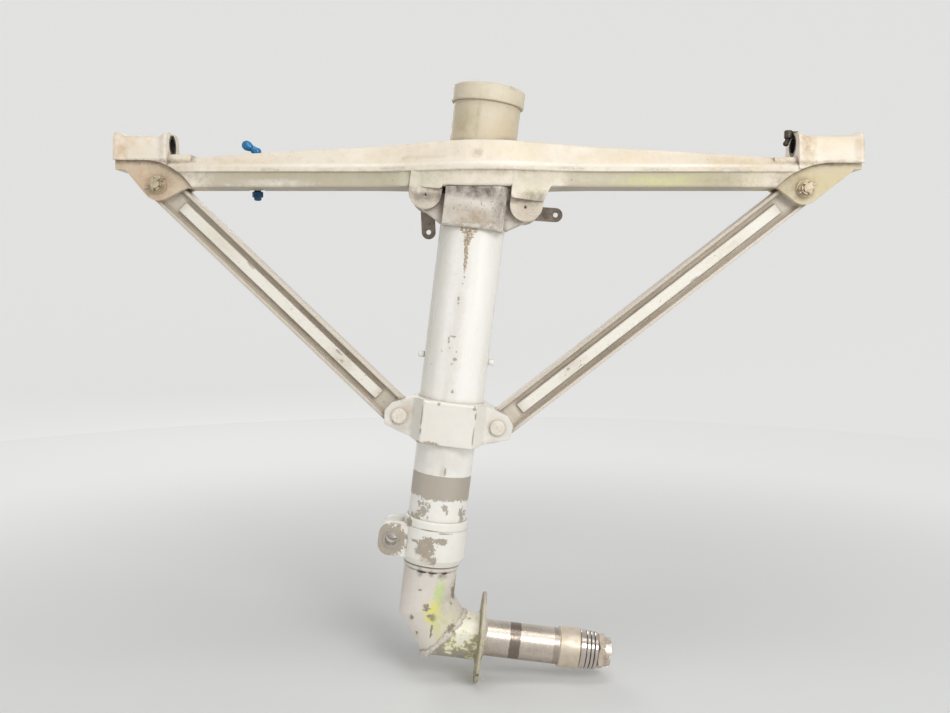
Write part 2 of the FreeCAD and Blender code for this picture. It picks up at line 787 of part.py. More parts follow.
def barrel_pegs():
    pegs = []
    for sign in (-1, 1):
        start = V(sign * (barrel_bore + 2 + fit_gap), 0, -peg_drop)
        stem = rod(peg_radius - 0.8 - fit_gap, start, V(sign * (upper_radius + 1), 0, -peg_drop))
        head = rod(peg_radius, V(sign * (upper_radius + 0.2), 0, -peg_drop), V(sign * peg_reach, 0, -peg_drop))
        rim = [edge for edge in head.Edges if abs(abs(edge.BoundBox.Center.x) - peg_reach) < 0.01]
        pegs.append(raked(joined([stem, head.makeChamfer(0.9, rim)])))
    return pegs


def head_saddle():
    """Block and ears that hang the barrel in the cross brace."""
    profile = [(-saddle_front, -saddle_end_drop, 2.5), (saddle_front, -saddle_end_drop, 2.5),
               (saddle_front, beam_bottom / 2, 0), (-saddle_front, beam_bottom / 2, 0)]
    face = Part.Face(rounded_wire(profile, side(-saddle_half)))
    block = face.extrude(V(2 * saddle_half, 0, 0))
    size = saddle_chamfer
    edge = Part.Face(rounded_wire([(saddle_half - size, -saddle_front, 0), (saddle_half + 1, -saddle_front - 1, 0),
                                   (saddle_half + 1, -saddle_front + size, 0)], plan(-120)))
    block = block.cut(edge.extrude(V(0, 0, 100)))
    ears = []
    for sign in (-1, 1):
        corners = [(sign * (saddle_half - 4), -saddle_ear_top, 0), (sign * (saddle_ear_reach - 2), -saddle_ear_top, 3.0),
                   (sign * saddle_ear_reach, -saddle_ear_drop, 5.0),
                   (sign * (saddle_half + 4), -saddle_ear_root, 6.0), (sign * (saddle_half - 4), -saddle_ear_root - 1, 0)]
        ears.append(plate(corners, -tongue_inner_y + fit_gap, tongue_inner_y - fit_gap))
    body = joined([block] + ears)
    body = body.cut(rod(upper_radius + fit_gap, V(0, 0, -120), V(0, 0, 0)))
    above = Part.makeBox(400, 400, 200, V(-200, -200, beam_bottom - saddle_gap))
    return cut_all(raked(body), [above] + [roll_pin_hole(x, side_of) for x, side_of in roll_pin_places()])


def roll_pins():
    """Slotted spring pins that lock the saddle ears between the tongues."""
    pins = []
    for x, face in roll_pin_places():
        start = V(x, face * (tongue_outer_y - 0.4), -roll_pin_drop)
        end = V(x, face * (tongue_outer_y - roll_pin_depth + 0.2), -roll_pin_drop)
        pin = rod(roll_pin_radius - 0.03, start, end).cut(rod(roll_pin_bore, start, end))
        slot = Part.makeBox(0.5, 40, 3, V(x - 0.25, min(start.y, end.y) - 5, -roll_pin_drop))
        pins.append(raked(pin.cut(slot)))
    return pins


bracket_thick = 2.0
bracket_width = 15.0
bracket_hole = 2.6
left_bracket_x = -46.5
left_bracket_drop = 93.5
right_bracket_x = 86.5
right_bracket_drop = 58.5
bracket_screw = 2.4


def strap(start, end, width, holes):
    """Flat strap with round ends between two points of the barrel frame."""
    depth = tongue_outer_y
    half = width / 2
    run = V(end[0] - start[0], 0, end[1] - start[1])
    across = V(-run.z, 0, run.x)
    across.normalize()
    a, b = V(start[0], depth, start[1]), V(end[0], depth, end[1])
    corners = [a + across * half, b + across * half, b - across * half, a - across * half, a + across * half]
    body = Part.Face(Part.makePolygon(corners)).extrude(V(0, bracket_thick, 0))
    body = joined([body] + [rod(half, p, p + V(0, bracket_thick, 0)) for p in (a, b)])
    return raked(cut_all(body, [rod(r, p - V(0, 1, 0), p + V(0, 5, 0)) for p, r in ((a, holes[0]), (b, holes[1]))]))


def bracket_roots():
    clear = lobe_drop + bracket_width / 2 + 1.0
    return [(-tongue_x, -clear - 3.0), (tongue_x, -clear)]


def bracket_screw_shank(x, z, radius):
    return raked(rod(radius, V(x, tongue_inner_y, z), V(x, tongue_outer_y + bracket_thick + 0.5, z)))


def bracket_screws():
    """Pan-head screws that hold the two hose brackets on the rear tongues."""
    screws = []
    for x, z in bracket_roots():
        seat = tongue_outer_y + bracket_thick
        head = turned([(0, 0), (4.6, 0), (4.4, 1.6), (2.6, 2.9), (0, 3.1)])
        head = pointed(head, V(x, seat, z), V(0, 1, 0))
        slot = Part.makeBox(12, 2, 1.2, V(x - 6, seat + 2.0, z - 0.6))
        screws.append(joined([bracket_screw_shank(x, z, bracket_screw), raked(head.cut(slot))]))
    return screws


def barrel_cap():
    """Screwed cap with a raised rim, a spigot in the barrel and a recessed floor."""
    top = -cap_top_drop
    rim_low = -cap_rim_drop
    floor_top = top - cap_recess
    floor_low = floor_top - cap_floor
    seat = -barrel_top_drop
    skirt_end = seat - 14
    spigot = barrel_bore - fit_gap
    inside = spigot - 4.0
    spigot_end = seat - cap_spigot
    groove = seat - cap_groove_drop - 4.0
    profile = [(orifice_tube_radius + fit_gap, floor_low), (orifice_tube_radius + fit_gap, floor_top - 2.5),
               (7.2, floor_top - 2.5), (7.2, floor_top), (cap_rim_radius - 6.5, floor_top),
               (cap_rim_radius - 5.0, top - 0.8), (cap_rim_radius - 4.2, top), (cap_rim_radius - 2.2, top),
               (cap_rim_radius, top - 1.8), (cap_rim_radius, rim_low + 0.8), (cap_rim_radius - 0.9, rim_low),
               (cap_radius, rim_low), (cap_radius, skirt_end), (upper_radius + fit_gap, skirt_end),
               (upper_radius + fit_gap, seat), (spigot, seat), (spigot, groove + 2.0),
               (spigot - 1.6, groove + 2.0), (spigot - 1.6, groove - 2.0), (spigot, groove - 2.0),
               (spigot, spigot_end), (inside, spigot_end), (inside, floor_low)]
    return raked(turned(profile))


def cap_seal():
    centre = -barrel_top_drop - cap_groove_drop - 4.0
    minor = 0.8
    return raked(Part.makeTorus(barrel_bore - fit_gap - minor + 0.05, minor, V(0, 0, centre), V(0, 0, 1)))


def filler_valve():
    base = -cap_top_drop - cap_recess
    body = joined([rod(7.1, V(0, 0, base - 2.4), V(0, 0, base + 0.5)), hexagon(valve_hex, base, base + 5.5),
                   rod(5.2, V(0, 0, base + 5.0), V(0, 0, base + 13.0)), hexagon(11.0, base + 12.5, base + 16.0),
                   rod(3.8, V(0, 0, base + 15.5), V(0, 0, base + valve_length - 3.0))])
    return raked(body)


def valve_cap():
    base = -cap_top_drop - cap_recess + valve_length - 7.6
    body = turned([(3.9, 0), (5.3, 0), (5.3, 7.0), (4.3, 8.2), (0, 8.2), (0, 4.8), (3.9, 4.8)])
    body.translate(V(0, 0, base))
    return raked(body)


def brace_collar():
    """Collar with two pairs of ears for the diagonal braces."""
    reach = collar_ear_reach
    face = collar_face
    half = collar_panel_half
    plan_corners = [(-half, -face, 3.5), (half, -face, 3.5), (collar_side, -collar_ear_outer, 7.0),
                    (reach, -collar_ear_outer, 0), (reach, collar_ear_outer, 0), (collar_side, collar_ear_outer, 7.0),
                    (half, face, 3.5), (-half, face, 3.5), (-collar_side, collar_ear_outer, 7.0),
                    (-reach, collar_ear_outer, 0), (-reach, -collar_ear_outer, 0),
                    (-collar_side, -collar_ear_outer, 7.0)]
    body = slab(plan_corners, -collar_end_drop - 5, -collar_top_drop + 5)
    height = collar_end_drop - collar_top_drop
    top = -collar_top_drop
    low = -collar_end_drop
    right = [(collar_side - 4, top, 5.0), (reach - 6.5, top - 0.21 * height, 4.0), (reach, top - 0.42 * height, 5.0),
             (reach - 1.0, low + 0.26 * height, 5.0), (reach - 20, low + 0.11 * height, 8.0), (half + 3, low, 4.0)]
    left = [(-u, v, radius) for u, v, radius in reversed(right)]
    body = body.common(plate(right + left, -face - 1, face + 1))
    size = collar_chamfer
    for sign in (-1, 1):
        wedge = Part.Face(rounded_wire([(sign * (face - size), top + 0.5, 0), (sign * (face + 1), top + 0.5, 0),
                                        (sign * (face + 1), top - size - 0.6, 0)], side(-half - 3)))
        body = body.cut(wedge.extrude(V(2 * half + 6, 0, 0)))
    body = body.cut(rod(upper_radius + fit_gap, V(0, 0, low - 9), V(0, 0, top + 9)))
    holes = []
    for sign in (-1, 1):
        x = sign * collar_bolt_x
        start = x if sign > 0 else x - 60
        holes.append(Part.makeBox(60, 2 * collar_ear_inner, height + 20, V(start, -collar_ear_inner, low - 10)))
        holes.append(rod(brace_bolt + fit_gap, V(x, -50, -collar_bolt_drop), V(x, 50, -collar_bolt_drop)))
    return cut_all(raked(cut_all(body, holes)), [brace_slot(data, True) for data in sides.values()])


def collar_liner():
    """Steel sleeve that fills the collar's bore below the step of the barrel."""
    low = -collar_end_drop
    high = -barrel_step_drop - 3.3
    return raked(tube(upper_radius, lower_radius + fit_gap, low, high))


def link_collar():
    """Collar round the gland end of the barrel with the upper torque link clevis."""
    top = -link_collar_top
    low = -link_collar_end
    radius = link_collar_radius
    groove = top - link_band
    profile = [(lower_radius + fit_gap, top), (radius - 2.2, top), (radius - 0.4, top - 1.8),
               (radius - 0.4, groove + 0.8), (radius - link_band_groove, groove),
               (radius, groove - 0.9), (radius, low + 7.0), (radius - 3.8, low), (barrel_bore + 2.2, low),
               (barrel_bore + 2.2, -barrel_end_drop - 0.3), (lower_radius + fit_gap, -barrel_end_drop - 0.3)]
    body = turned(profile)
    middle = -link_lug_drop
    half = link_lug_half_height
    corners = [(-link_lug_reach, middle - half, link_lug_corner), (-18, middle - half, 0),
               (-18, middle + half + 1.5, 0), (-link_lug_reach, middle + half, link_lug_corner)]
    lugs = []
    for near, far in ((-link_lug_outer, -link_lug_inner), (link_lug_inner, link_lug_outer)):
        lugs.append(plate(corners, near, far))
    body = joined([body] + lugs)
    body = body.cut(rod(lower_radius + fit_gap, V(0, 0, -barrel_end_drop - 0.3), V(0, 0, 0)))
    hole = rod(link_pin + link_bush_wall, V(-link_lug_x, -60, middle), V(-link_lug_x, 60, middle))
    return raked(body.cut(hole))


def link_bush(inner, outer):
    """Flanged bush about Z, flange at the outer face."""
    head = link_pin + link_bush_wall + 0.8
    profile = [(link_pin, 0), (link_pin + link_bush_wall - fit_gap, 0),
               (link_pin + link_bush_wall - fit_gap, outer - inner), (head, outer - inner),
               (head, outer - inner + 0.9), (link_pin, outer - inner + 0.9)]
    return turned(profile)


def link_bushes():
    bush = link_bush(link_lug_inner, link_lug_outer)
    place = V(-link_lug_x, 0, -link_lug_drop)
    return [raked(pointed(bush, place + V(0, side_of * link_lug_inner, 0), V(0, side_of, 0))) for side_of in (-1, 1)]


def gland_bearing():
    top = -gland_drop - gland_play
    return raked(tube(gland_bore - fit_gap, piston_radius + run_gap, top - gland_bearing_length, top))


def gland_seal():
    minor = (gland_bore - piston_radius) / 2 - run_gap
    return raked(Part.makeTorus((gland_bore + piston_radius) / 2, minor, V(0, 0, -seal_drop), V(0, 0, 1)))


def wiper_ring():
    lip = piston_radius + run_gap
    outer = gland_bore - fit_gap
    profile = [(lip + 1.0, -wiper_drop), (outer, -wiper_drop), (outer, -wiper_drop - wiper_length),
               (lip, -wiper_drop - wiper_length), (lip, -wiper_drop - wiper_length + 1.0)]
    return raked(turned(profile))


def open_ring(inner, outer, low, high, gap):
    ring = tube(outer, inner, low, high)
    return ring.cut(Part.makeBox(2 * outer, gap, high - low + 2, V(0, -gap / 2, low - 1)))


def gland_snap_ring():
    low = -lower_ring_drop - snap_ring_thick
    return raked(open_ring(piston_radius + 0.8, gland_bore + 0.8, low, -lower_ring_drop, 8.0))


def orifice_tube():
    """Tube hung from the cap, closed by the metering plate at its foot."""
    top = -cap_top_drop - cap_recess - 2.7
    low = -orifice_tube_end
    outer = orifice_tube_radius
    inner = orifice_tube_bore
    flange_top = -cap_top_drop - cap_recess - cap_floor - fit_gap
    profile = [(inner, top), (outer, top), (outer, flange_top), (outer + 6, flange_top),
               (outer + 6, flange_top - 4), (outer, flange_top - 4), (outer, low), (orifice_radius, low),
               (orifice_radius, low + 3), (inner, low + 6)]
    body = turned(profile)
    for drop in (120, 180, 240):
        body = body.cut(rod(2.0, V(-20, 0, -drop), V(20, 0, -drop)))
    return raked(body)


# ---- piston ----
def upper_bearing():
    top = -bearing_top_drop
    low = top - bearing_length
    inner = piston_neck_radius + run_gap
    outer = barrel_bore - run_gap
    profile = [(inner, top), (outer - 1, top), (outer, top - 1), (outer, top - 12), (outer - 1, top - 13),
               (outer - 1, top - 19), (outer, top - 20), (outer, low + 1), (outer - 1, low), (inner, low)]
    body = turned(profile)
    for i in range(6):
        angle = math.radians(60 * i)
        hole = rod(1.2, V(0, 0, top - 16), V(40 * math.cos(angle), 40 * math.sin(angle), top - 16))
        body = body.cut(hole)
    return raked(body)


def piston_tube():
    top = -piston_top_drop
    shoulder = -bearing_top_drop - bearing_length - 0.2
    groove_low = -bearing_top_drop + 0.2
    groove_top = groove_low + snap_ring_thick + 0.1
    neck = piston_neck_radius
    profile = [(piston_bore, top), (neck - 0.8, top), (neck, top - 0.8), (neck, groove_top),
               (neck - 0.9, groove_top), (neck - 0.9, groove_low), (neck, groove_low), (neck, shoulder),
               (piston_radius - 0.6, shoulder), (piston_radius, shoulder - 0.6),
               (piston_radius, -elbow_socket_end), (piston_bore, -elbow_socket_end)]
    return raked(turned(profile))


def piston_snap_ring():
    low = -bearing_top_drop + 0.25
    return raked(open_ring(piston_neck_radius - 0.85, piston_neck_radius + 2.0, low, low + snap_ring_thick, 9.0))


def metering_pin():
    """Tapered pin on a base plate that closes the foot of the piston."""
    top = -metering_base_drop
    low = top - metering_base_thick
    base = piston_bore - fit_gap
    profile = [(0, low), (base, low), (base, top), (9, top), (metering_radius + 1.5, top + 6),
               (metering_radius, top + 9), (metering_radius, top + metering_length * 0.5),
               (metering_tip_radius, top + metering_length - 4), (metering_tip_radius - 1.2, top + metering_length),
               (0, top + metering_length)]
    return raked(turned(profile))


def ellipse_wire(low_point, high_point, half_side):
    """Ellipse across the elbow, through a heel point and a throat point of its outline."""
    centre = (low_point + high_point) * 0.5
    long_axis = high_point - centre
    ellipse = Part.Ellipse(centre + long_axis, centre + V(0, half_side, 0), centre)
    if long_axis.Length < half_side:
        ellipse = Part.Ellipse(centre + V(0, half_side, 0), high_point, centre)
    return Part.Wire([ellipse.toShape()])


def elbow():
    """Mitred elbow: socket for the piston, bend, and a clevis for the lower torque link behind."""
    radius = elbow_radius
    socket = tube(radius, 0, -elbow_heel_drop - 8, -elbow_top_drop - elbow_lip_length)
    heel_cut = Part.Face(rounded_wire([(-radius - 5, -elbow_heel_drop - (5.0 * (elbow_heel_drop - elbow_throat_drop)) /
                                        (2 * radius), 0),
                                       (radius + 5, -elbow_throat_drop + (5.0 * (elbow_heel_drop - elbow_throat_drop)) /
                                        (2 * radius), 0),
                                       (radius + 5, -600, 0), (-radius - 5, -600, 0)], front(-40)))
    socket = socket.cut(heel_cut.extrude(V(0, 80, 0)))
    first = ellipse_wire(V(-radius, 0, -elbow_heel_drop), V(radius, 0, -elbow_throat_drop), radius)
    second = ellipse_wire(V(weld_heel_x, 0, -axle_drop - root_radius), V(weld_throat_x, 0, -axle_drop + root_radius),
                          root_radius)
    bend = Part.makeLoft([first, second], True, True)
    lip_low = -elbow_top_drop - elbow_lip_length
    lip = turned([(0, -elbow_top_drop), (elbow_lip_radius - 1.2, -elbow_top_drop),
                  (elbow_lip_radius, -elbow_top_drop - 1.2), (elbow_lip_radius, lip_low + 1.6),
                  (radius, lip_low), (0, lip_low)])
    body = joined([socket, bend, lip])
    lugs = []
    drop = foot_lug_drop
    for near, far in ((-foot_lug_outer, -foot_lug_inner), (foot_lug_inner, foot_lug_outer)):
        disc = rod(foot_lug_radius, V(near, foot_lug_y, -drop), V(far, foot_lug_y, -drop))
        arm_outline = [(15, -drop - foot_lug_radius - 3, 0), (foot_lug_y, -drop - foot_lug_radius, 0),
                       (foot_lug_y, -drop + foot_lug_radius, 0), (15, -drop + foot_lug_radius + 2, 0)]
        arm = Part.Face(rounded_wire(arm_outline, side(near))).extrude(V(far - near, 0, 0))
        lugs.append(joined([disc, arm]))
    body = joined([body] + lugs)
    body = body.cut(rod(piston_radius + fit_gap, V(0, 0, -elbow_socket_end), V(0, 0, 0)))
    hole = rod(link_pin + link_bush_wall, V(-60, foot_lug_y, -drop), V(60, foot_lug_y, -drop))
    return raked(body.cut(hole))


def foot_bushes():
    bush = link_bush(foot_lug_inner, foot_lug_outer)
    place = V(0, foot_lug_y, -foot_lug_drop)
    return [raked(pointed(bush, place + V(side_of * foot_lug_inner, 0, 0), V(side_of, 0, 0))) for side_of in (-1, 1)]


def on_axle(shape):
    """Place a piece drawn about +Z onto the axle, with its Z distance along the axle."""
    return raked(pointed(shape, V(0, 0, -axle_drop), V(1, 0, 0)))


def axle():
    """Hollow axle, welded to the elbow at a slanted face."""
    start = weld_heel_x + 6
    profile = [(0, start), (root_radius, start), (root_radius, flange_x + flange_thick + 0.8),
               (root_radius - 1.5, flange_x + flange_thick + 2.4), (journal_radius + 1.6, flange_x + flange_thick + 2.4),
               (journal_radius, journal_start), (journal_radius, journal_end - 0.8),
               (journal_radius - 0.8, journal_end), (thread_radius, journal_end), (thread_radius, axle_end - 1.2),
               (thread_radius - 1.2, axle_end), (axle_bore, axle_end), (axle_bore, 92), (0, 86)]
    body = turned(profile)
    body = pointed(body, V(0, 0, -axle_drop), V(1, 0, 0))
    slope = (weld_throat_x - weld_heel_x) / (2 * root_radius)
    top = 40.0
    keep_out = [(weld_heel_x - slope * (top - root_radius), -axle_drop - top, 0), (-20, -axle_drop - top, 0),
                (-20, -axle_drop + top, 0), (weld_throat_x + slope * (top - root_radius), -axle_drop + top, 0)]
    body = body.cut(plate(keep_out, -60, 60))
    return raked(body)


def brake_flange():
    body = tube(flange_radius, root_radius + fit_gap, flange_x, flange_x + flange_thick)
    hub = tube(root_radius + 3.0, root_radius + fit_gap, flange_x - flange_hub_width, flange_x)
    body = joined([body, hub])
    for i in range(flange_bolts):
        angle = math.radians(360 / flange_bolts * i)
        centre = V(flange_bolt_circle * math.cos(angle), flange_bolt_circle * math.sin(angle), flange_x - 10)
        body = body.cut(rod(flange_bolt_radius, centre, centre + V(0, 0, 30)))
    return on_axle(body)


def axle_spacer():
    bore = journal_radius + fit_gap
    end = journal_end - 0.2
    profile = [(bore, spacer_start), (spacer_radius - 0.7, spacer_start), (spacer_radius, spacer_start + 0.7),
               (spacer_radius, end - 0.7), (spacer_radius - 0.7, end), (bore, end)]
    return on_axle(turned(profile))


def axle_washer():
    bore = thread_radius + fit_gap
    low = washer_start
    high = washer_start + washer_thick
    profile = [(bore, low), (ring_radius - 0.8, low), (ring_radius, low + 0.8), (ring_radius, high - 1.0),
               (ring_radius - 1.0, high), (bore, high)]
    return on_axle(turned(profile))


def axle_rings():
    """Stack of thin hardened rings that take up the end play."""
    rings = []
    for i in range(ring_count):
        low = ring_start + i * ring_pitch
        outer = ring_radius - 0.35 * i
        profile = [(thread_radius + fit_gap, low), (outer - 0.7, low), (outer, low + 0.8),
                   (outer, low + ring_thick - 0.8), (outer - 0.7, low + ring_thick), (thread_radius + fit_gap, low + ring_thick)]
        rings.append(on_axle(turned(profile)))
    return rings


def axle_nut():
    nut = castle_nut(nut_flats, thread_radius + fit_gap, nut_hex_length, nut_crown_radius,
                     nut_crown_length, nut_slots, 4.2)
    nut.translate(V(0, 0, nut_start))
    return on_axle(nut)


# ---- hydraulic union behind the cross brace ----
def union_arm_direction():
    angle = math.radians(fitting_arm_lean)
    return V(-math.sin(angle), 0, math.cos(angle))


def union_arm_start():
    return V(fitting_x, fitting_y, fitting_web_top + fitting_arm_rise)


def union_body():
    """Bulkhead elbow: flared end below the web, threaded neck through it, leaning arm above."""
    below = -fitting_web_thick
    profile = [(0, below - 21), (3.2, below - 21), (4.4, below - 17.5), (4.4, below - 12), (3.4, below - 11),
               (3.4, below - 8), (5.6, below - 8), (5.6, below), (fitting_thread, below),
               (fitting_thread, fitting_arm_rise), (0, fitting_arm_rise)]
    stem = pointed(turned(profile), V(fitting_x, fitting_y, fitting_web_top), V(0, 0, 1))
    arm = turned([(0, 0), (fitting_thread, 0), (fitting_thread, 5.0), (3.0, 6.5), (3.0, 9.0), (0, 9.0)])
    arm = pointed(arm, union_arm_start(), union_arm_direction())
    knuckle = Part.makeSphere(fitting_thread + 0.6, union_arm_start())
    return joined([stem, knuckle, arm])


def union_locknut():
    body = hexagon(11.5, 0, 4.6).cut(rod(fitting_thread + fit_gap, V(0, 0, -1), V(0, 0, 9)))
    return pointed(body, V(fitting_x, fitting_y, fitting_web_top), V(0, 0, 1))


def union_cap():
    """Blanking cap on the open end of the arm."""
    inside = 3.0 + fit_gap
    profile = [(inside, 6.8), (3.6, 6.8), (4.6, 9.5), (5.0, 10.4), (5.2, 12.6), (4.4, 15.6), (2.4, 17.2), (0, 17.4),
               (0, 9.1), (inside, 9.1)]
    return pointed(turned(profile), union_arm_start(), union_arm_direction())


# ---- the nodes ----
os.makedirs("parts", exist_ok=True)

save("cross_brace", cross_brace())
for side_name, side_data in sides.items():
    save(side_name + "_trunnion_bushes", trunnion_bushes(side_data))
    save(side_name + "_diagonal_brace", diagonal_brace(side_data))
save("grease_elbow", grease_elbow())
save("brace_bushes", brace_bushes())
save("upper_brace_bolts", upper_bolts())
save("upper_brace_washers", upper_washers())
save("upper_brace_nuts", upper_nuts())
save("upper_brace_cotters", upper_cotters())
save("lower_brace_bolts", lower_bolts())
save("lower_brace_washers", lower_washers())
save("lower_brace_nuts", lower_nuts())
save("barrel", barrel())
save("barrel_pegs", barrel_pegs())
save("head_saddle", head_saddle())
save("saddle_roll_pins", roll_pins())
save("left_hose_bracket", strap(bracket_roots()[0], (left_bracket_x, -left_bracket_drop), bracket_width,
                                (bracket_screw + fit_gap, bracket_hole)))
save("right_hose_bracket", strap(bracket_roots()[1], (right_bracket_x, -right_bracket_drop), bracket_width,
                                 (bracket_screw + fit_gap, bracket_hole)))
save("bracket_screws", bracket_screws())
save("barrel_cap", barrel_cap())
save("cap_seal", cap_seal())
save("filler_valve", filler_valve())
save("valve_cap", valve_cap())
save("orifice_tube", orifice_tube())
save("brace_collar", brace_collar())
save("collar_liner", collar_liner())
save("link_collar", link_collar())
save("link_collar_bushes", link_bushes())
save("gland_bearing", gland_bearing())
save("gland_seal", gland_seal())
save("wiper_ring", wiper_ring())
save("gland_snap_ring", gland_snap_ring())
save("hydraulic_union", union_body())
save("union_locknut", union_locknut())
save("union_cap", union_cap())
save("upper_bearing", upper_bearing())
save("piston_tube", piston_tube())
save("piston_snap_ring", piston_snap_ring())
save("metering_pin", metering_pin())
save("elbow", elbow())
save("elbow_link_bushes", foot_bushes())
save("axle", axle())
save("brake_flange", brake_flange())
save("axle_spacer", axle_spacer())
save("axle_washer", axle_washer())
save("axle_rings", axle_rings())
save("axle_nut", axle_nut())
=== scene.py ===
# %% [markdown]
# # A landing gear strut, dressed
# The strut comes in as a finished assembly, in metres.  Nothing here moves it.  What is left to do is
# what a painter, a plater and years of service do: coats, bare bands, chips, grime and grease.  Some
# colours also stand in for light: painted shade, shadows and highlights, marked where they are given.
# The box of the bare assembly is kept, so that at the end it can be compared with the dressed one.

# %% Load the assembly
import json
import math
import bmesh
import bpy
from mathutils import Matrix, Vector, noise

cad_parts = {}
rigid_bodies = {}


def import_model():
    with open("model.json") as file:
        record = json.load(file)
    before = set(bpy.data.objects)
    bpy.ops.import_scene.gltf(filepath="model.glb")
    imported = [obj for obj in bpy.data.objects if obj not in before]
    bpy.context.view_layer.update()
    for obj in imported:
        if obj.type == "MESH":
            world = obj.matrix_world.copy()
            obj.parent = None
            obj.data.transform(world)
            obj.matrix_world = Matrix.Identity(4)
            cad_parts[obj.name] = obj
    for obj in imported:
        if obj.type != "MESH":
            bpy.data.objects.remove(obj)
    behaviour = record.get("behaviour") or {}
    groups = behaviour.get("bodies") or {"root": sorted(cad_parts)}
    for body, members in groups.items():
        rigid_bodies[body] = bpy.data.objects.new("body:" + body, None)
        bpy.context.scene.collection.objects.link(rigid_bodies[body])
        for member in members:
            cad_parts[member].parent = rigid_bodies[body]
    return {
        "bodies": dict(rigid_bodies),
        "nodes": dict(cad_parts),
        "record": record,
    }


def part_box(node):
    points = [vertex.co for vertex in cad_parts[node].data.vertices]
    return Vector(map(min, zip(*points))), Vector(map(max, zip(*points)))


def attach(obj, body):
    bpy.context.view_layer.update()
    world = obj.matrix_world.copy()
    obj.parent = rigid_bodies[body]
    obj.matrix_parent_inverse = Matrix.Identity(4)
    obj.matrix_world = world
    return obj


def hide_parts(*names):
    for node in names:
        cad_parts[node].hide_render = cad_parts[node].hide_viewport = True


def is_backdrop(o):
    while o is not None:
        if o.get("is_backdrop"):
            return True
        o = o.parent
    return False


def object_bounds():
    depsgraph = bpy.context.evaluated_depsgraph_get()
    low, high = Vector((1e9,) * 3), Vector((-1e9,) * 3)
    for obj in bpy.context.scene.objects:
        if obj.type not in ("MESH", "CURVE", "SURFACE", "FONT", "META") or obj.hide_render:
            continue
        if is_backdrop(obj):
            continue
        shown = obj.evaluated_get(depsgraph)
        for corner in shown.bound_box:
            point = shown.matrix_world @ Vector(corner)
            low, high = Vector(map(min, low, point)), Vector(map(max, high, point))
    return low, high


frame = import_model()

MM = 1000.0
bare_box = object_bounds()
record = frame["record"]
print("nodes", len(frame["nodes"]), "bare box", [[round(v, 4) for v in corner] for corner in bare_box])

# %% [markdown]
# ## Axes that lie along a piece
# The cross brace is level, but the barrel leans and the diagonal braces slope.  A chip on a brace is
# easiest to place along that brace, so each finish takes a centre and an angle.  Neither is typed
# in.  The piston slides down the barrel, so the slide's axis gives the lean.  A diagonal brace has
# round ends, so its bolts are one end radius inside the corners of its box.

# %% Lean and slopes
slide = [joint for joint in record["behaviour"]["joints"] if joint["type"] == "slide"][0]
down = Vector(slide["axis"]).normalized()
lean = math.atan2(-down.x, -down.z)
upright = Matrix.Rotation(lean, 4, "Y")
BRACE_EYE_RADIUS = 15.0


def brace_axes(node, side):
    """Upper bolt in mm, turn that lays the brace along +X, and distance between its bolts."""
    low, high = [Vector(corner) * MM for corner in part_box(node)]
    top_x = low.x + BRACE_EYE_RADIUS if side < 0 else high.x - BRACE_EYE_RADIUS
    foot_x = high.x - BRACE_EYE_RADIUS if side < 0 else low.x + BRACE_EYE_RADIUS
    run = Vector((foot_x - top_x, 0, low.z - high.z + 2 * BRACE_EYE_RADIUS))
    return (top_x, 0.0, high.z - BRACE_EYE_RADIUS), math.atan2(run.z, run.x), run.length


left_axes = brace_axes("left_diagonal_brace", -1)
right_axes = brace_axes("right_diagonal_brace", 1)
print("barrel leans", round(math.degrees(lean), 2), "degrees")
print("braces are", round(left_axes[2], 1), "and", round(right_axes[2], 1), "mm from bolt to bolt")

# %% [markdown]
# ## Colours and nodes
# Paint charts give colours as sRGB hex, but the renderer counts light, so one function turns hex to
# linear values.  One more adds a shader node with its settings and links, and is used for all.
# A Mix node keeps its inputs in one row: 0 is the share, 2 and 3 are two numbers, 6 and 7 are two
# colours.  Its output 0 gives the mixed number, and its output 2 the mixed colour.

# %% Two helpers
def linear(code):
    """Linear colour for an sRGB hex code."""
    parts = [int(code[i:i + 2], 16) / 255 for i in (0, 2, 4)]
    return (*[p / 12.92 if p <= 0.04045 else ((p + 0.055) / 1.055) ** 2.4 for p in parts], 1.0)


def add(tree, kind, inputs=(), out=0, **settings):
    """Adds a shader node, sets it up, links or fills its inputs, and returns one of its outputs."""
    node = tree.nodes.new("ShaderNode" + kind)
    for name, value in settings.items():
        setattr(node, name, value)
    for name, value in inputs.items() if isinstance(inputs, dict) else enumerate(inputs):
        if isinstance(value, bpy.types.NodeSocket):
            tree.links.new(value, node.inputs[name])
        else:
            node.inputs[name].default_value = value
    return node.outputs[out] if node.outputs else None


print("cream enamel in linear light:", [round(v, 3) for v in linear("eae0d0")])

# %% [markdown]
# ## Starting a finish
# Every finish begins the same way: a surface shader, and the place of each point in millimetres, so
# that a 3 mm chip can be asked for as 3.  The object's own coordinates are used, because they stay
# with the metal when it moves.  They are turned to lie along the piece.

# %% A blank finish
def blank_finish(name, axes=((0, 0, 0), 0.0)):
    """An empty material: itself, its tree, its shader, and places in mm along the piece."""
    material = bpy.data.materials.new(name)
    material.use_nodes = True
    tree = material.node_tree
    tree.nodes.clear()
    surface = add(tree, "BsdfPrincipled")
    add(tree, "OutputMaterial", {"Surface": surface})
    place = add(tree, "TexCoord", out="Object")
    place = add(tree, "VectorMath", {0: place, "Scale": MM}, operation="SCALE")
    place = add(tree, "VectorMath", (place, axes[0]), operation="SUBTRACT")
    place = add(tree, "VectorRotate", {"Vector": place, "Angle": axes[1]}, rotation_type="Y_AXIS")
    return material, tree, surface.node, place


BARREL = ((0, 0, 0), -lean)
print("one millimetre is", 1 / MM, "m")

# %% [markdown]
# ## Patches of wear
# A chip, a stain and a masked band are all the same thing to the eye: a region with its own kind of
# edge.  So one function makes them all.  It measures how far a point is from the patch's centre, as
# a share of its half size, and adds a noise that tears the edge.  A chip has a crisp torn edge, a
# stain a wide soft one, and a masked area is square and straight.

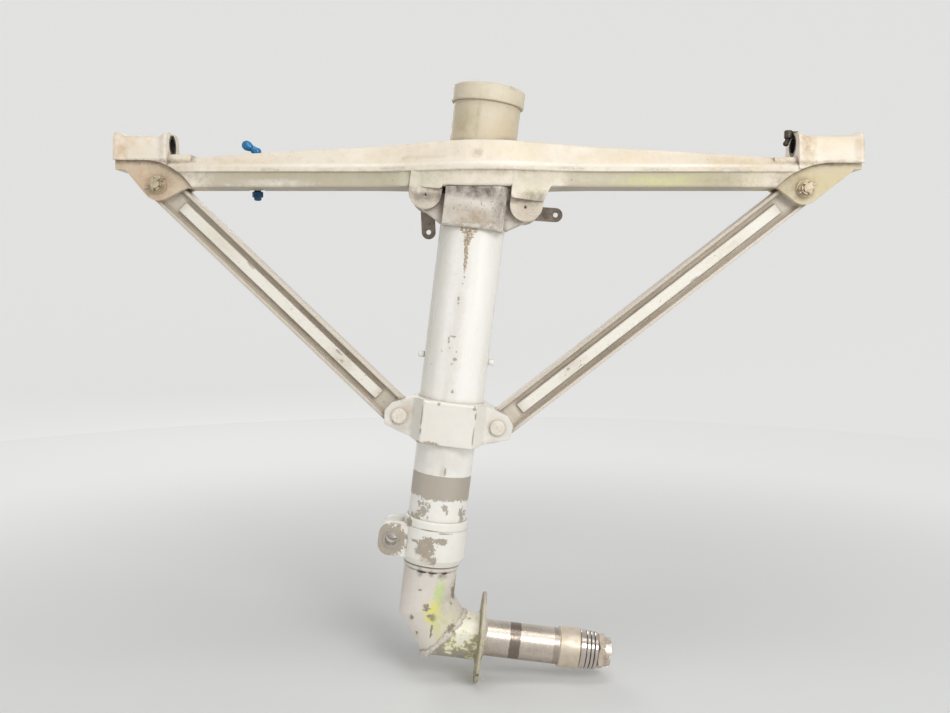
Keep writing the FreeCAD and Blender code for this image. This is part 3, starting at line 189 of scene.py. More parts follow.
# %% One patch
def patch(tree, place, ragged, centre, size, tear, soft=0.04, square=False):
    """1 inside a patch round centre and 0 outside; size is its half width each way, in mm."""
    away = add(tree, "VectorMath", (place, centre), operation="SUBTRACT")
    share = add(tree, "VectorMath", (away, tuple(1 / half for half in size)), operation="MULTIPLY")
    if square:
        sides = add(tree, "VectorMath", (share,), operation="ABSOLUTE")
        sides = add(tree, "SeparateXYZ", (sides,)).node.outputs
        far = add(tree, "Math", (sides[0], sides[1]), operation="MAXIMUM")
        far = add(tree, "Math", (far, sides[2]), operation="MAXIMUM")
    else:
        far = add(tree, "VectorMath", (share,), "Value", operation="LENGTH")
    far = add(tree, "Math", (ragged, tear, far), operation="MULTIPLY_ADD")
    return add(tree, "MapRange", (far, 1 + soft, 1 - soft))


print("patch ready")

# %% [markdown]
# ## Old aircraft enamel
# The strut is forged and turned metal under zinc chromate primer and a sprayed enamel topcoat.  Age
# works in an order.  The enamel yellows and mottles, grime settles where the metal is hollow,
# handling rubs the edges, and last the coat flakes and shows primer or bare grey metal.  The colour
# darkened in the hollows stands for that grime and also for painted shade there.  The finish
# could be one painted picture, but that would fit one piece only.  It is built from noises and
# patches instead, in the same order, and each stage is a helper of its own.  A noise node gives
# values round 0.5 that seldom leave 0.3 to 0.7, so the thresholds below lie in that span.

# %% The noises of a sprayed coat
CLOUD_MM, MOTTLE_MM = 42, 8
DUST_MM, SPECK_MM = 1.1, 2.4
TEAR_MM, FRAY_MM, FRAY_SHARE = 6.0, 1.7, 0.42


def coat_noises(tree, place, streak):
    """Broad clouds, finer mottle, dust in the paint, and a noise from -1 to 1 that tears edges."""
    long_place = add(tree, "VectorMath", (place, tuple(1 / s for s in streak)), operation="MULTIPLY")
    broad = add(tree, "TexNoise", {"Vector": long_place, "Scale": 1 / CLOUD_MM, "Detail": 3.0})
    fine = add(tree, "TexNoise", {"Vector": long_place, "Scale": 1 / MOTTLE_MM, "Detail": 6.0,
                                  "Roughness": 0.65})
    dust = add(tree, "TexNoise", {"Vector": place, "Scale": 1 / DUST_MM, "Detail": 2.0})
    torn = add(tree, "TexNoise", {"Vector": place, "Scale": 1 / TEAR_MM, "Detail": 3.0, "Roughness": 0.6})
    frayed = add(tree, "TexNoise", {"Vector": place, "Scale": 1 / FRAY_MM, "Detail": 3.0, "Roughness": 0.6})
    torn = add(tree, "Mix", {0: FRAY_SHARE, 2: torn, 3: frayed})
    return broad, fine, dust, add(tree, "MapRange", (torn, 0.32, 0.68, -1.0, 1.0))


print("clouds", CLOUD_MM, "mm, mottle", MOTTLE_MM, "mm, dust", DUST_MM, "mm")

# %% [markdown]
# ## Yellowing, stains, dirt and painted shade
# An old coat is never one colour.  Zones are whole faces with a tone of their own, such as a panel
# that weathered more, and stains are soft clouds of grease or chalk on them.  Some zones and stains
# are painted shade, shadow or highlight instead, and are marked where they are given.  The colour
# also darkens where a surface is hollow, which the Ambient Occlusion node can tell.  That stands for
# the dirt that collects there and for the shade that falls there.

# %% Stained coat
ZONE_TEAR, ZONE_SOFT = 0.03, 0.05
STAIN_TEAR, STAIN_SOFT, STAIN_THINNEST = 0.4, 0.55, 0.25


def stained_coat(tree, place, noises, coat, shade, mottle, zones, stains):
    """Colour of the coat with its mottle, zones and stains."""
    broad, fine, torn = noises[0], noises[1], noises[3]
    cloud = add(tree, "MapRange", (broad, 0.36, 0.70, 0.0, mottle))
    colour = add(tree, "Mix", {0: cloud, 6: linear(coat), 7: linear(shade)}, 2, data_type="RGBA")
    cloud = add(tree, "MapRange", (fine, 0.50, 0.78, 0.0, mottle))
    colour = add(tree, "Mix", {0: cloud, 6: colour, 7: linear(shade)}, 2, data_type="RGBA")
    for centre, size, hex_code, strength in zones:
        mask = patch(tree, place, torn, centre, size, ZONE_TEAR, ZONE_SOFT, square=True)
        mask = add(tree, "Math", (mask, strength), operation="MULTIPLY")
        colour = add(tree, "Mix", {0: mask, 6: colour, 7: linear(hex_code)}, 2, data_type="RGBA")
    for centre, size, hex_code, strength in stains:
        mask = patch(tree, place, torn, centre, size, STAIN_TEAR, STAIN_SOFT)
        thin = add(tree, "MapRange", (fine, 0.30, 0.62, STAIN_THINNEST * strength, strength))
        mask = add(tree, "Math", (mask, thin), operation="MULTIPLY")
        colour = add(tree, "Mix", {0: mask, 6: colour, 7: linear(hex_code)}, 2, data_type="RGBA")
    return colour


print("a stain is down to", STAIN_THINNEST, "of its strength where it is thin")

# %% Dirt, painted shade and specks
def add_dirt_and_shade(tree, place, noises, colour, crease, specks):
    """Adds dirt and painted shade in the hollows, and small specks; returns the colour and both masks."""
    broad, fine = noises[:2]
    hollow_dirt_and_shade = add(tree, "AmbientOcclusion", {"Distance": crease[1] / MM}, "AO", samples=5)
    hollow_dirt_and_shade = add(tree, "MapRange", (hollow_dirt_and_shade, 0.90, 0.45, 0.0, crease[2]))
    settled = add(tree, "MapRange", (fine, 0.25, 0.60, 0.55, 1.0))
    hollow_dirt_and_shade = add(tree, "Math", (hollow_dirt_and_shade, settled), operation="MULTIPLY")
    colour = add(tree, "Mix", {0: hollow_dirt_and_shade, 6: colour, 7: linear(crease[0])}, 2, data_type="RGBA")
    dots = add(tree, "TexNoise", {"Vector": place, "Scale": 1 / SPECK_MM, "Detail": 2.0})
    dots = add(tree, "MapRange", (dots, specks[0], specks[0] + 0.04))
    thinned = add(tree, "MapRange", (broad, 0.46, 0.58))
    dots = add(tree, "Math", (dots, thinned), operation="MULTIPLY")
    colour = add(tree, "Mix", {0: dots, 6: colour, 7: linear(specks[1])}, 2, data_type="RGBA")
    return colour, hollow_dirt_and_shade, dots


print("specks are up to", SPECK_MM, "mm")

# %% [markdown]
# ## Rubbed edges
# Sleeves, straps and tools touch the outer edges first.  The Bevel node gives a normal that turns
# softly round an edge.  Where it differs from the true one there is an edge, and where the hollow
# mask of dirt and painted shade is low beside it, the edge stands out and gets rubbed.

# %% Rubbed edges
EDGE_MM = 1.3


def rubbed_edges(tree, torn, colour, hollow_dirt_and_shade, edge_wear, edge_hex):
    """Rubs the colour off outer edges; returns it and the softened normal."""
    softened = add(tree, "Bevel", {"Radius": EDGE_MM / MM}, samples=4)
    sharp = add(tree, "NewGeometry", out="True Normal")
    sharp = add(tree, "VectorMath", (softened, sharp), "Value", operation="DOT_PRODUCT")
    outer = add(tree, "MapRange", (hollow_dirt_and_shade, 0.05, 0.2, 1.0, 0.0))
    rubbed = add(tree, "MapRange", (sharp, 0.985, 0.80))
    rubbed = add(tree, "Math", (rubbed, outer), operation="MULTIPLY")
    broken = add(tree, "MapRange", (torn, -0.1, 0.25, 0.0, edge_wear))
    rubbed = add(tree, "Math", (rubbed, broken), operation="MULTIPLY")
    colour = add(tree, "Mix", {0: rubbed, 6: colour, 7: linear(edge_hex)}, 2, data_type="RGBA")
    return colour, softened


print("edges are rubbed", EDGE_MM, "mm wide")

# %% [markdown]
# ## Flakes and bare bands
# A flake is a torn patch down to the metal, with a rim where the primer still holds.  A band is what
# a clamp leaves when it goes: bare metal all round, with its own tear at the top and at the foot.

# %% Flakes and bands
LIP_MM = 0.5
RIM_GROWTH, RIM_MM = 1.3, 0.8


def broken_coat(tree, place, torn, flakes, bands, with_rim):
    """1 where the metal is bare, and 1 on the flakes and the primer's rim round them."""
    bare = 0.0
    rim = 0.0
    for centre, size, tear in flakes:
        mask = patch(tree, place, torn, centre, size, tear)
        bare = add(tree, "Math", (mask, bare), operation="MAXIMUM")
        if with_rim:
            grown = tuple(RIM_GROWTH * half + RIM_MM for half in size)
            wider = patch(tree, place, torn, centre, grown, tear)
            rim = add(tree, "Math", (wider, rim), operation="MAXIMUM")
    height_place = add(tree, "SeparateXYZ", (place,), 2)
    for top, foot, tear_top, tear_foot in bands:
        under_top = add(tree, "Math", (torn, tear_top, height_place), operation="MULTIPLY_ADD")
        under_top = add(tree, "MapRange", (under_top, top, top - LIP_MM))
        over_foot = add(tree, "Math", (torn, tear_foot, height_place), operation="MULTIPLY_ADD")
        over_foot = add(tree, "MapRange", (over_foot, foot, foot + LIP_MM + 0.1))
        mask = add(tree, "Math", (under_top, over_foot), operation="MULTIPLY")
        bare = add(tree, "Math", (mask, bare), operation="MAXIMUM")
    return bare, rim


print("a rim is", RIM_MM, "mm and more")

# %% [markdown]
# ## The whole enamel
# Worn enamel is about 0.3 to 0.5 rough, with an IOR near 1.5, and rougher in dirty hollows.  A coat
# and its primer are some 0.2 mm thick.  Here they are 0.35 mm, so that a broken lip shows.

# %% Enamel
ENAMEL_IOR = 1.5
COAT_MM, DUST_HEIGHT_MM, SPECK_DEPTH_MM = 0.35, 0.03, 0.15
HOLLOW_ROUGHNESS, BARE_ROUGHNESS, BARE_METALLIC = 0.8, 0.5, 0.3


def old_enamel(name, coat, shade, axes=((0, 0, 0), 0.0), roughness=0.42, mottle=0.4, streak=(1, 1, 1),
               crease=("6d5d4b", 6.0, 0.7), edge_wear=0.4, edge_hex="b8ac98", metal="aba195",
               primer="c6c98a", primer_share=0.0, specks=(0.70, "5a4c40"), lumps=0.2,
               zones=(), stains=(), flakes=(), bands=()):
    """Sprayed enamel.

    crease: hex of the dirt and painted shade in hollows, reach in mm, strength.  zones: centre, half size,
    hex, strength.  stains: the same.
    flakes: centre, half size, tear.  bands: top mm, foot mm, tear at the top, tear at the foot.
    """
    material, tree, shader, place = blank_finish(name, axes)
    noises = coat_noises(tree, place, streak)
    broad, fine, dust, torn = noises
    colour = stained_coat(tree, place, noises, coat, shade, mottle, zones, stains)
    colour, hollow_dirt_and_shade, dots = add_dirt_and_shade(tree, place, noises, colour, crease, specks)
    colour, softened = rubbed_edges(tree, torn, colour, hollow_dirt_and_shade, edge_wear, edge_hex)
    bare, rim = broken_coat(tree, place, torn, flakes, bands, primer_share > 0)
    if primer_share:
        rim = add(tree, "Math", (rim, primer_share), operation="MULTIPLY")
        colour = add(tree, "Mix", {0: rim, 6: colour, 7: linear(primer)}, 2, data_type="RGBA")
    dull = add(tree, "Mix", {0: fine, 6: linear(metal), 7: linear(edge_hex)}, 2, data_type="RGBA")
    colour = add(tree, "Mix", {0: bare, 6: colour, 7: dull}, 2, data_type="RGBA")
    tree.links.new(colour, shader.inputs["Base Color"])

    gloss = add(tree, "MapRange", (fine, 0.3, 0.7, roughness * 0.85, roughness * 1.2))
    gloss = add(tree, "Mix", {0: hollow_dirt_and_shade, 2: gloss, 3: HOLLOW_ROUGHNESS})
    gloss = add(tree, "Mix", {0: bare, 2: gloss, 3: BARE_ROUGHNESS})
    tree.links.new(gloss, shader.inputs["Roughness"])
    metallic = add(tree, "Math", (bare, BARE_METALLIC), operation="MULTIPLY")
    tree.links.new(metallic, shader.inputs["Metallic"])
    shader.inputs["IOR"].default_value = ENAMEL_IOR

    height = add(tree, "Math", (broad, lumps * 2.0, 0.0), operation="MULTIPLY_ADD")
    height = add(tree, "Math", (fine, lumps * 0.6, height), operation="MULTIPLY_ADD")
    height = add(tree, "Math", (dust, DUST_HEIGHT_MM, height), operation="MULTIPLY_ADD")
    height = add(tree, "Math", (dots, -SPECK_DEPTH_MM, height), operation="MULTIPLY_ADD")
    height = add(tree, "Math", (bare, -COAT_MM, height), operation="MULTIPLY_ADD")
    bump = add(tree, "Bump", {"Height": height, "Normal": softened, "Distance": 1 / MM})
    tree.links.new(bump, shader.inputs["Normal"])
    return material


print("a chip is", COAT_MM, "mm deep")

# %% [markdown]
# ## Steel, plated and plain
# Turned steel keeps rings from the tool, cadmium plate goes dull and straw coloured, and hard chrome
# is nearly a mirror.  They keep the default IOR of a metal and differ in colour, roughness and
# marks, and what is oxidised or painted over is less metallic.  A lathe leaves rings about 0.2 mm
# apart.  Here they are 0.28 to 0.44 mm apart.  From a metre away they don't show one by one, but
# they draw the highlight out along the axle.

# %% Metal
TARNISH_MM, BRUSH_MM, PIT_MM = 9, 1.2, 2.2
BRUSHED_ALONG = (0.3, 2.4, 2.4)
BRUSH_HEIGHT_MM, RING_HEIGHT_MM = 0.02, 0.012
BAND_WANDER_MM, BAND_SOFT_MM = 0.7, 0.8
STEEL_EDGE_MM = 0.4
WAVE_TURN = math.pi / 10
PIT_HEX = "57493c"


def turned_metal(name, bright, dull, roughness, axes=((0, 0, 0), 0.0), rings_mm=0.0, dirt=0.3,
                 metallic=1.0, pits=0.0, grime_and_shade=("453a2f", 0.6, 2.5), bands=(), stains=()):
    """Metal with tool marks.  A wave node repeats every WAVE_TURN at scale 1.

    grime_and_shade: dirt and painted shade in hollows, as hex, strength, reach in mm.  bands: from mm, to mm,
    hex, strength.
    stains: centre, half size, hex, strength.
    """
    material, tree, shader, place = blank_finish(name, axes)
    cloud = add(tree, "TexNoise", {"Vector": place, "Scale": 1 / TARNISH_MM, "Detail": 5.0,
                                   "Roughness": 0.65})
    drawn_out = add(tree, "VectorMath", (place, BRUSHED_ALONG), operation="MULTIPLY")
    grain = add(tree, "TexNoise", {"Vector": drawn_out, "Scale": 1 / BRUSH_MM, "Detail": 4.0})
    along = add(tree, "SeparateXYZ", (place,))
    worn = add(tree, "MapRange", (cloud, 0.42, 0.72, 0.0, dirt))
    colour = add(tree, "Mix", {0: worn, 6: linear(bright), 7: linear(dull)}, 2, data_type="RGBA")
    wander = add(tree, "MapRange", (cloud, 0.3, 0.7, -1.0, 1.0))
    for start, end, hex_code, strength in bands:
        where = add(tree, "Math", (wander, BAND_WANDER_MM, along), operation="MULTIPLY_ADD")
        mask = add(tree, "MapRange", (where, start, start + BAND_SOFT_MM, 0.0, strength))
        ends = add(tree, "MapRange", (where, end, end - BAND_SOFT_MM))
        mask = add(tree, "Math", (mask, ends), operation="MULTIPLY")
        colour = add(tree, "Mix", {0: mask, 6: colour, 7: linear(hex_code)}, 2, data_type="RGBA")
    for centre, size, hex_code, strength in stains:
        mask = patch(tree, place, wander, centre, size, STAIN_TEAR, 0.5)
        mask = add(tree, "Math", (mask, strength), operation="MULTIPLY")
        colour = add(tree, "Mix", {0: mask, 6: colour, 7: linear(hex_code)}, 2, data_type="RGBA")
    spots = add(tree, "TexNoise", {"Vector": place, "Scale": 1 / PIT_MM, "Detail": 3.0})
    spots = add(tree, "MapRange", (spots, 0.60, 0.66, 0.0, pits))
    colour = add(tree, "Mix", {0: spots, 6: colour, 7: linear(PIT_HEX)}, 2, data_type="RGBA")
    hollow_dirt_and_shade = add(tree, "AmbientOcclusion", {"Distance": grime_and_shade[2] / MM}, "AO", samples=5, only_local=True)
    hollow_dirt_and_shade = add(tree, "MapRange", (hollow_dirt_and_shade, 0.85, 0.45, 0.0, grime_and_shade[1]))
    colour = add(tree, "Mix", {0: hollow_dirt_and_shade, 6: colour, 7: linear(grime_and_shade[0])}, 2, data_type="RGBA")
    tree.links.new(colour, shader.inputs["Base Color"])
    shader.inputs["Metallic"].default_value = metallic

    gloss = add(tree, "MapRange", (grain, 0.3, 0.7, roughness * 0.8, roughness * 1.25))
    gloss = add(tree, "Math", (worn, 0.25, gloss), operation="MULTIPLY_ADD")
    tree.links.new(gloss, shader.inputs["Roughness"])
    height = add(tree, "Math", (grain, BRUSH_HEIGHT_MM), operation="MULTIPLY")
    if rings_mm:
        ring = add(tree, "TexWave", {"Vector": place, "Scale": WAVE_TURN / rings_mm, "Distortion": 0.3},
                   "Fac", bands_direction="X")
        height = add(tree, "Math", (ring, RING_HEIGHT_MM, height), operation="MULTIPLY_ADD")
    softened = add(tree, "Bevel", {"Radius": STEEL_EDGE_MM / MM}, samples=4)
    bump = add(tree, "Bump", {"Height": height, "Normal": softened, "Distance": 1 / MM})
    tree.links.new(bump, shader.inputs["Normal"])
    return material


print("tarnish comes in clouds of", TARNISH_MM, "mm")

# %% [markdown]
# ## The cross brace
# A forging keeps the slightly uneven skin of its die, so its coat gets gentle lumps.  Its crown is
# handled clean, while the let-in panel below the ledge is chalky and greener, and both ends are
# stained tan by old grease.  Some tones are painted light: the panel is partly, and the underside
# wholly, painted darker as shade, dark lines below the ledge and over the lobes are painted shadow,
# the lines under the lugs' steps are partly painted shadow, and a highlight is painted along the
# ledge.  Places are in millimetres from the hinge line.

# %% Forging
brace_low, brace_high = [Vector(corner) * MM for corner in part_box("cross_brace")]
LEFT_LUG_IN, RIGHT_LUG_IN = 44, 57
left_lug = brace_low.x + LEFT_LUG_IN
right_lug = brace_high.x - RIGHT_LUG_IN
forging = old_enamel(
    "cream_enamel_on_forging", "f3e9da", "dfd2b9", roughness=0.5, mottle=0.75, lumps=0.35, edge_wear=0.55,
    edge_hex="f7f1e6", crease=("7a6b58", 7.0, 0.75), specks=(0.71, "8a5f45"), primer="cfc6a2",
    primer_share=0.2,
    # The panel below the ledge is partly a chalky tone and partly painted shade, darker than the crown.
    zones=[((-10, 0, -38), (276, 24.5, 9.6), "bdb39b", 0.8),
           # Painted shade on the underside of the beam, at both ends.
           ((-186, 0, -47), (112, 60, 3), "958a7b", 0.55), ((190, 0, -47), (112, 60, 3), "958a7b", 0.55),
           ((-51, -30, -64), (18, 12, 13), "b9ac9b", 0.4), ((52, -30, -70), (18, 12, 19), "c5b6a4", 0.25),
           ((left_lug, 0, -46), (47, 17, 27), "d6c2a4", 0.8),
           ((right_lug + 5, 0, -50), (57, 17, 29), "d6c7a2", 0.8)],
    stains=[
        # The panel below the ledge, chalky, with one cleaner spot on the left.
        ((-120, -24, -36), (110, 9, 8), "b9b098", 0.6), ((60, -34, -36), (55, 14, 9), "cfc7ae", 0.7),
        ((215, -24, -36), (75, 9, 7), "cfca9f", 0.5), ((-215, -23, -41), (34, 6, 4), "efe9dd", 0.9),
        # The lugs and the ends of the crown, tan with old grease.
        ((left_lug + 18, -17, -30), (24, 8, 10), "a8957c", 0.5),
        ((left_lug - 22, -16, -38), (20, 8, 12), "cfa988", 0.6),
        ((left_lug - 4, -16, -50), (16, 8, 13), "b98f6c", 0.45),
        ((right_lug + 20, -16, -40), (30, 8, 10), "d0c088", 0.6),
        ((right_lug - 24, -16, -38), (22, 8, 12), "a59579", 0.55),
        ((left_lug - 24, 0, 2), (16, 30, 14), "e6caa2", 0.55),
        ((right_lug + 24, 0, 0), (26, 30, 10), "efdcb4", 0.5),
        # The lobes beside the head block.
        ((-70, -30, -54), (14, 14, 9), "9a8f80", 0.65), ((-52, -30, -64), (16, 6, 10), "cfc4b4", 0.7),
        ((52, -31, -72), (18, 8, 12), "cdbfac", 0.8), ((56, -38, -50), (12, 10, 5), "dcd9a4", 0.5),
        # The panel again, where primer shows through thin paint.
        ((180, -24, -38), (40, 9, 6), "d8d698", 0.75), ((120, -28, -34), (34, 9, 5), "e0d6c0", 0.7),
        ((238, -22, -38), (26, 9, 5), "b3a588", 0.7), ((-70, -32, -36), (34, 12, 7), "cfd0b4", 0.6),
        # The crown, yellowed in broad clouds.
        ((300, -18, -6), (14, 14, 12), "c7a87c", 0.55), ((-250, -18, -16), (40, 9, 9), "e0cdaa", 0.6),
        ((-90, -24, -12), (46, 14, 10), "e6d6b8", 0.6), ((30, -34, -12), (40, 14, 9), "ecd9b4", 0.6),
        ((150, -22, -14), (50, 12, 8), "ead7b6", 0.6), ((255, -18, -20), (34, 9, 7), "dcc49a", 0.6),
        ((-6, -42, -12), (5, 10, 4), "a68c6a", 0.5),
        # Painted shadow below the ledge, and over the lobes where they leave the beam.
        ((20, -42, -30), (60, 10, 3), "b3a48c", 0.5), ((-51, -31, -54), (19, 6, 5), "857a6d", 0.85),
        ((52, -31, -56), (19, 6, 6), "8f8475", 0.8),
        # Dark lines under the lugs' steps, partly grease and partly painted shadow; grease at the roots and
        # ends of the bosses.
        ((left_lug - 8, -17, -18), (34, 9, 2.4), "8a6f50", 0.8),
        ((right_lug + 14, -17, -20), (38, 9, 2.6), "9b8460", 0.75),
        ((left_lug - 38, -20, -8), (7, 12, 12), "c9a57c", 0.6),
        ((left_lug + 20, -20, 6), (5, 12, 12), "c2a587", 0.5),
        ((right_lug + 60, -20, -4), (8, 12, 12), "cfae82", 0.6),
        ((right_lug + 1, -20, 2), (7, 12, 18), "c4a374", 0.8),
        # The ledge, rubbed pale, with a painted highlight along it.
        ((-150, -24, -22.5), (90, 9, 1.6), "fffaf0", 0.8), ((30, -36, -22.5), (75, 12, 1.8), "fffcf4", 0.85),
        ((190, -24, -22.5), (80, 9, 1.6), "fffaf0", 0.8)],
    flakes=[((-216, -23, -26.8), (9, 6, 1.2), 0.7), ((92, -32, -26), (13, 9, 1.1), 0.8),
            ((176, -24, -27), (11, 6, 1.0), 0.8), ((254, -22, -28), (17, 6, 1.5), 0.8),
            ((-92, -25, -26), (10, 7, 0.9), 0.8), ((-252, -22, -42), (9, 5, 2.0), 0.8),
            ((52, -31, -72), (6, 3, 1.6), 0.8), ((-62, -31, -64), (5, 3, 1.6), 0.8)])
print("lug stains at", round(left_lug, 1), "and", round(right_lug, 1), "mm")

# %% [markdown]
# ## The diagonal braces
# Each is an I section with a flat rib down the middle.  Rib and flanges are rubbed clean, and the
# grooves between them hold brown grime and painted shade, darkest where the groove turns up into
# the flange.

# %% Diagonals
def brace_enamel(name, axes):
    """Enamel of one diagonal brace; places run from its upper bolt along it."""
    middle = axes[2] / 2
    return old_enamel(
        name, "ddd3c4", "beb29e", axes=axes[:2], roughness=0.45, mottle=0.6, streak=(4, 1, 1), lumps=0.1,
        crease=("6b5a47", 5.0, 0.8), edge_wear=0.5, edge_hex="efe8da", metal="8c8072",
        specks=(0.70, "6b5d4d"),
        zones=[((middle, 0, 0), (middle - 30, 12, 5.3), "f4f0e4", 0.92),
               ((middle, 0, 13.4), (middle - 12, 12, 1.7), "e3d9ca", 0.8)],
        stains=[((middle * 0.5, -8, 0), (26, 4, 6), "d8cdb8", 0.5),
                ((middle * 1.5, -8, 0), (14, 4, 6), "b7a98f", 0.5),
                ((8, -9, 0), (20, 4, 15), "b9ad9b", 0.6),
                ((axes[2] - 10, -9, 0), (22, 4, 15), "bdb1a0", 0.6)],
        flakes=[((middle * 1.46, -7.6, 3.0), (3.5, 3, 1.0), 0.7),
                ((middle * 1.52, -7.6, -2.0), (2.0, 3, 1.4), 0.7),
                ((middle * 0.72, -7.6, 4.6), (5.0, 3, 0.8), 0.8)])


left_brace_enamel = brace_enamel("cream_enamel_left_diagonal", left_axes)
right_brace_enamel = brace_enamel("cream_enamel_right_diagonal", right_axes)
print("rib coats run", round(left_axes[2] - 60), "and", round(right_axes[2] - 60), "mm")

# %% [markdown]
# ## The barrel, its cap, and its collars
# The barrel is the glossiest part.  A clamp once sat low on it, and left a bare band with a straight
# upper lip and a ragged foot.  Places are in millimetres across, through and down the barrel.

# %% Barrel
BAND_TOP, BAND_FOOT = -343.5, -369.0
barrel_enamel = old_enamel(
    "white_enamel_barrel", "faf8f1", "e6e0d4", axes=BARREL, roughness=0.25, mottle=0.35, streak=(1, 1, 5),
    lumps=0.06, crease=("8c8070", 5.0, 0.5), edge_wear=0.3, metal="c0bab1", specks=(0.74, "6a5848"),
    # The first stain, a long streak down the barrel's left side, is painted shade; the others are stains.
    stains=[((-30, -12, -150), (14, 26, 120), "e6e1d6", 0.6),
            ((-4, -33, -220), (7, 8, 110), "e4ded5", 0.7), ((0, -33, -328), (30, 12, 10), "e6e0d8", 0.7),
            ((0, -33, -340), (3, 8, 6), "c9bda9", 0.6), ((6, -33, -357), (8, 10, 5), "b9aa86", 0.6)],
    # Chips down the front from the sealant to the band, then those below the band.
    flakes=[((-1.5, -33, -137), (0.8, 5, 1.6), 1.2), ((-2.5, -33, -143), (0.7, 5, 1.0), 1.2),
            ((-5.0, -33, -159), (0.7, 5, 1.4), 1.2), ((-4.6, -33, -164), (0.9, 5, 1.0), 1.2),
            ((-5.5, -33, -198), (3.6, 5, 0.7), 0.9), ((-9.6, -32, -203), (0.8, 5, 3.6), 1.0),
            ((-8.0, -32, -210), (0.7, 5, 1.0), 1.2), ((-0.5, -33, -213), (0.8, 5, 1.0), 1.2),
            ((-1.5, -33, -221), (1.6, 5, 1.2), 1.3), ((-3.6, -33, -226), (1.0, 5, 1.0), 1.2),
            ((-25.0, -22, -230), (0.6, 5, 0.6), 1.0), ((1.0, -33, -246), (0.7, 5, 0.8), 1.2),
            ((0.4, -33, -254), (1.0, 5, 1.4), 1.3), ((3.0, -31, -338), (0.8, 5, 4.5), 0.7),
            ((-15.0, -28, -381), (5.0, 9, 8.5), 1.1), ((-22.0, -25, -390), (6.0, 9, 3.6), 1.2),
            ((7.0, -31, -376), (2.2, 8, 3.2), 1.3), ((10.0, -30, -381), (1.2, 8, 2.4), 1.3),
            ((26.0, -18, -384), (4.0, 8, 8.0), 1.0)],
    bands=[(BAND_TOP, BAND_FOOT, 0.4, 3.4)])
print("bare band is", BAND_TOP - BAND_FOOT, "mm wide")

# %% Cap and head block
# The cap is handled often and rubbed; the block is a rough forging with chalk on it.
cap_enamel = old_enamel(
    "tan_enamel_cap", "dccfb6", "c9bb9d", axes=BARREL, roughness=0.45, mottle=0.55, lumps=0.15, edge_wear=0.4,
    edge_hex="efe8d8", crease=("8f8068", 6.0, 0.8), specks=(0.73, "7d6a52"), metal="9a8d79",
    stains=[((-4, -34, 22), (16, 8, 12), "e6dcc8", 0.7), ((-22, -28, 18), (14, 14, 14), "b9ac84", 0.65),
            ((-8, -36, 20), (2, 8, 26), "c3b48f", 0.6), ((14, -32, 14), (16, 12, 9), "d9c2a0", 0.6),
            ((0, 0, 51), (45, 45, 8), "e9e0cb", 0.75)],
    flakes=[((24, -28, 56), (5, 6, 1.6), 0.8), ((-30, -20, 39), (3, 6, 1.2), 0.8)])
block_enamel = old_enamel(
    "chalked_enamel_head_block", "e6ded3", "b8ad9f", axes=BARREL, roughness=0.6, mottle=0.9, lumps=1.1,
    edge_wear=0.7, edge_hex="f6f1e9", crease=("6f6357", 8.0, 0.8), specks=(0.62, "a2937f"), metal="aa9c88",
    # Painted light: the dark stain across the top is shadow under the beam, the pale band below it a
    # highlight, and the dark one at the right side shade.
    stains=[((-4, -38, -50), (34, 8, 7), "5f554b", 0.95), ((0, -38, -63), (30, 6, 5), "f0e9e0", 0.7),
            ((0, -38, -80), (17, 6, 10), "b09a7c", 0.95), ((-14, -38, -70), (12, 6, 8), "c6bbac", 0.8),
            ((28, -36, -64), (8, 10, 14), "8f8479", 0.8),
            ((-50, -20, -70), (14, 20, 16), "cfc5ba", 0.6)],
    flakes=[((2, -38, -85), (15, 6, 4.5), 1.2), ((28, -38, -70), (1.2, 6, 12), 0.8),
            ((-30, -38, -84), (4, 6, 2), 1.2)])
print("cap and block ready")

# %% Collars
# Both collars are turned and sprayed like the barrel, and chipped where spanners slip.
collar_enamel = old_enamel(
    "white_enamel_brace_collar", "f3efe6", "e6e0d5", axes=BARREL, roughness=0.33, mottle=0.4, lumps=0.2,
    edge_wear=0.5, edge_hex="d9cbb6", crease=("8f7b63", 4.0, 0.6), specks=(0.74, "6a5848"), metal="a58d7e",
    stains=[((-44, -17, -281), (6, 6, 8), "b58f5f", 0.6), ((-52, -17, -300), (12, 6, 5), "b39a83", 0.5),
            ((56, -17, -306), (14, 6, 4), "a98d78", 0.7), ((-52, -17, -288), (16, 4, 16), "dedad0", 0.6),
            ((52, -17, -288), (16, 4, 16), "dedad0", 0.6)],
    flakes=[((-27.5, -37, -283), (0.7, 6, 10), 0.5), ((-27.0, -37, -297), (0.9, 6, 3), 0.8),
            ((27.2, -37, -276), (0.9, 6, 3), 0.8), ((27.0, -37, -298), (0.7, 6, 9), 0.5),
            ((-16, -39, -309.5), (9, 6, 2.2), 0.8), ((-25, -36, -310), (6, 8, 1.6), 0.8),
            ((54, -16, -309), (7, 6, 1.8), 0.8), ((-12, -39, -268), (2, 5, 1.6), 0.8),
            ((25, -37, -268), (1.6, 5, 2), 0.8)])
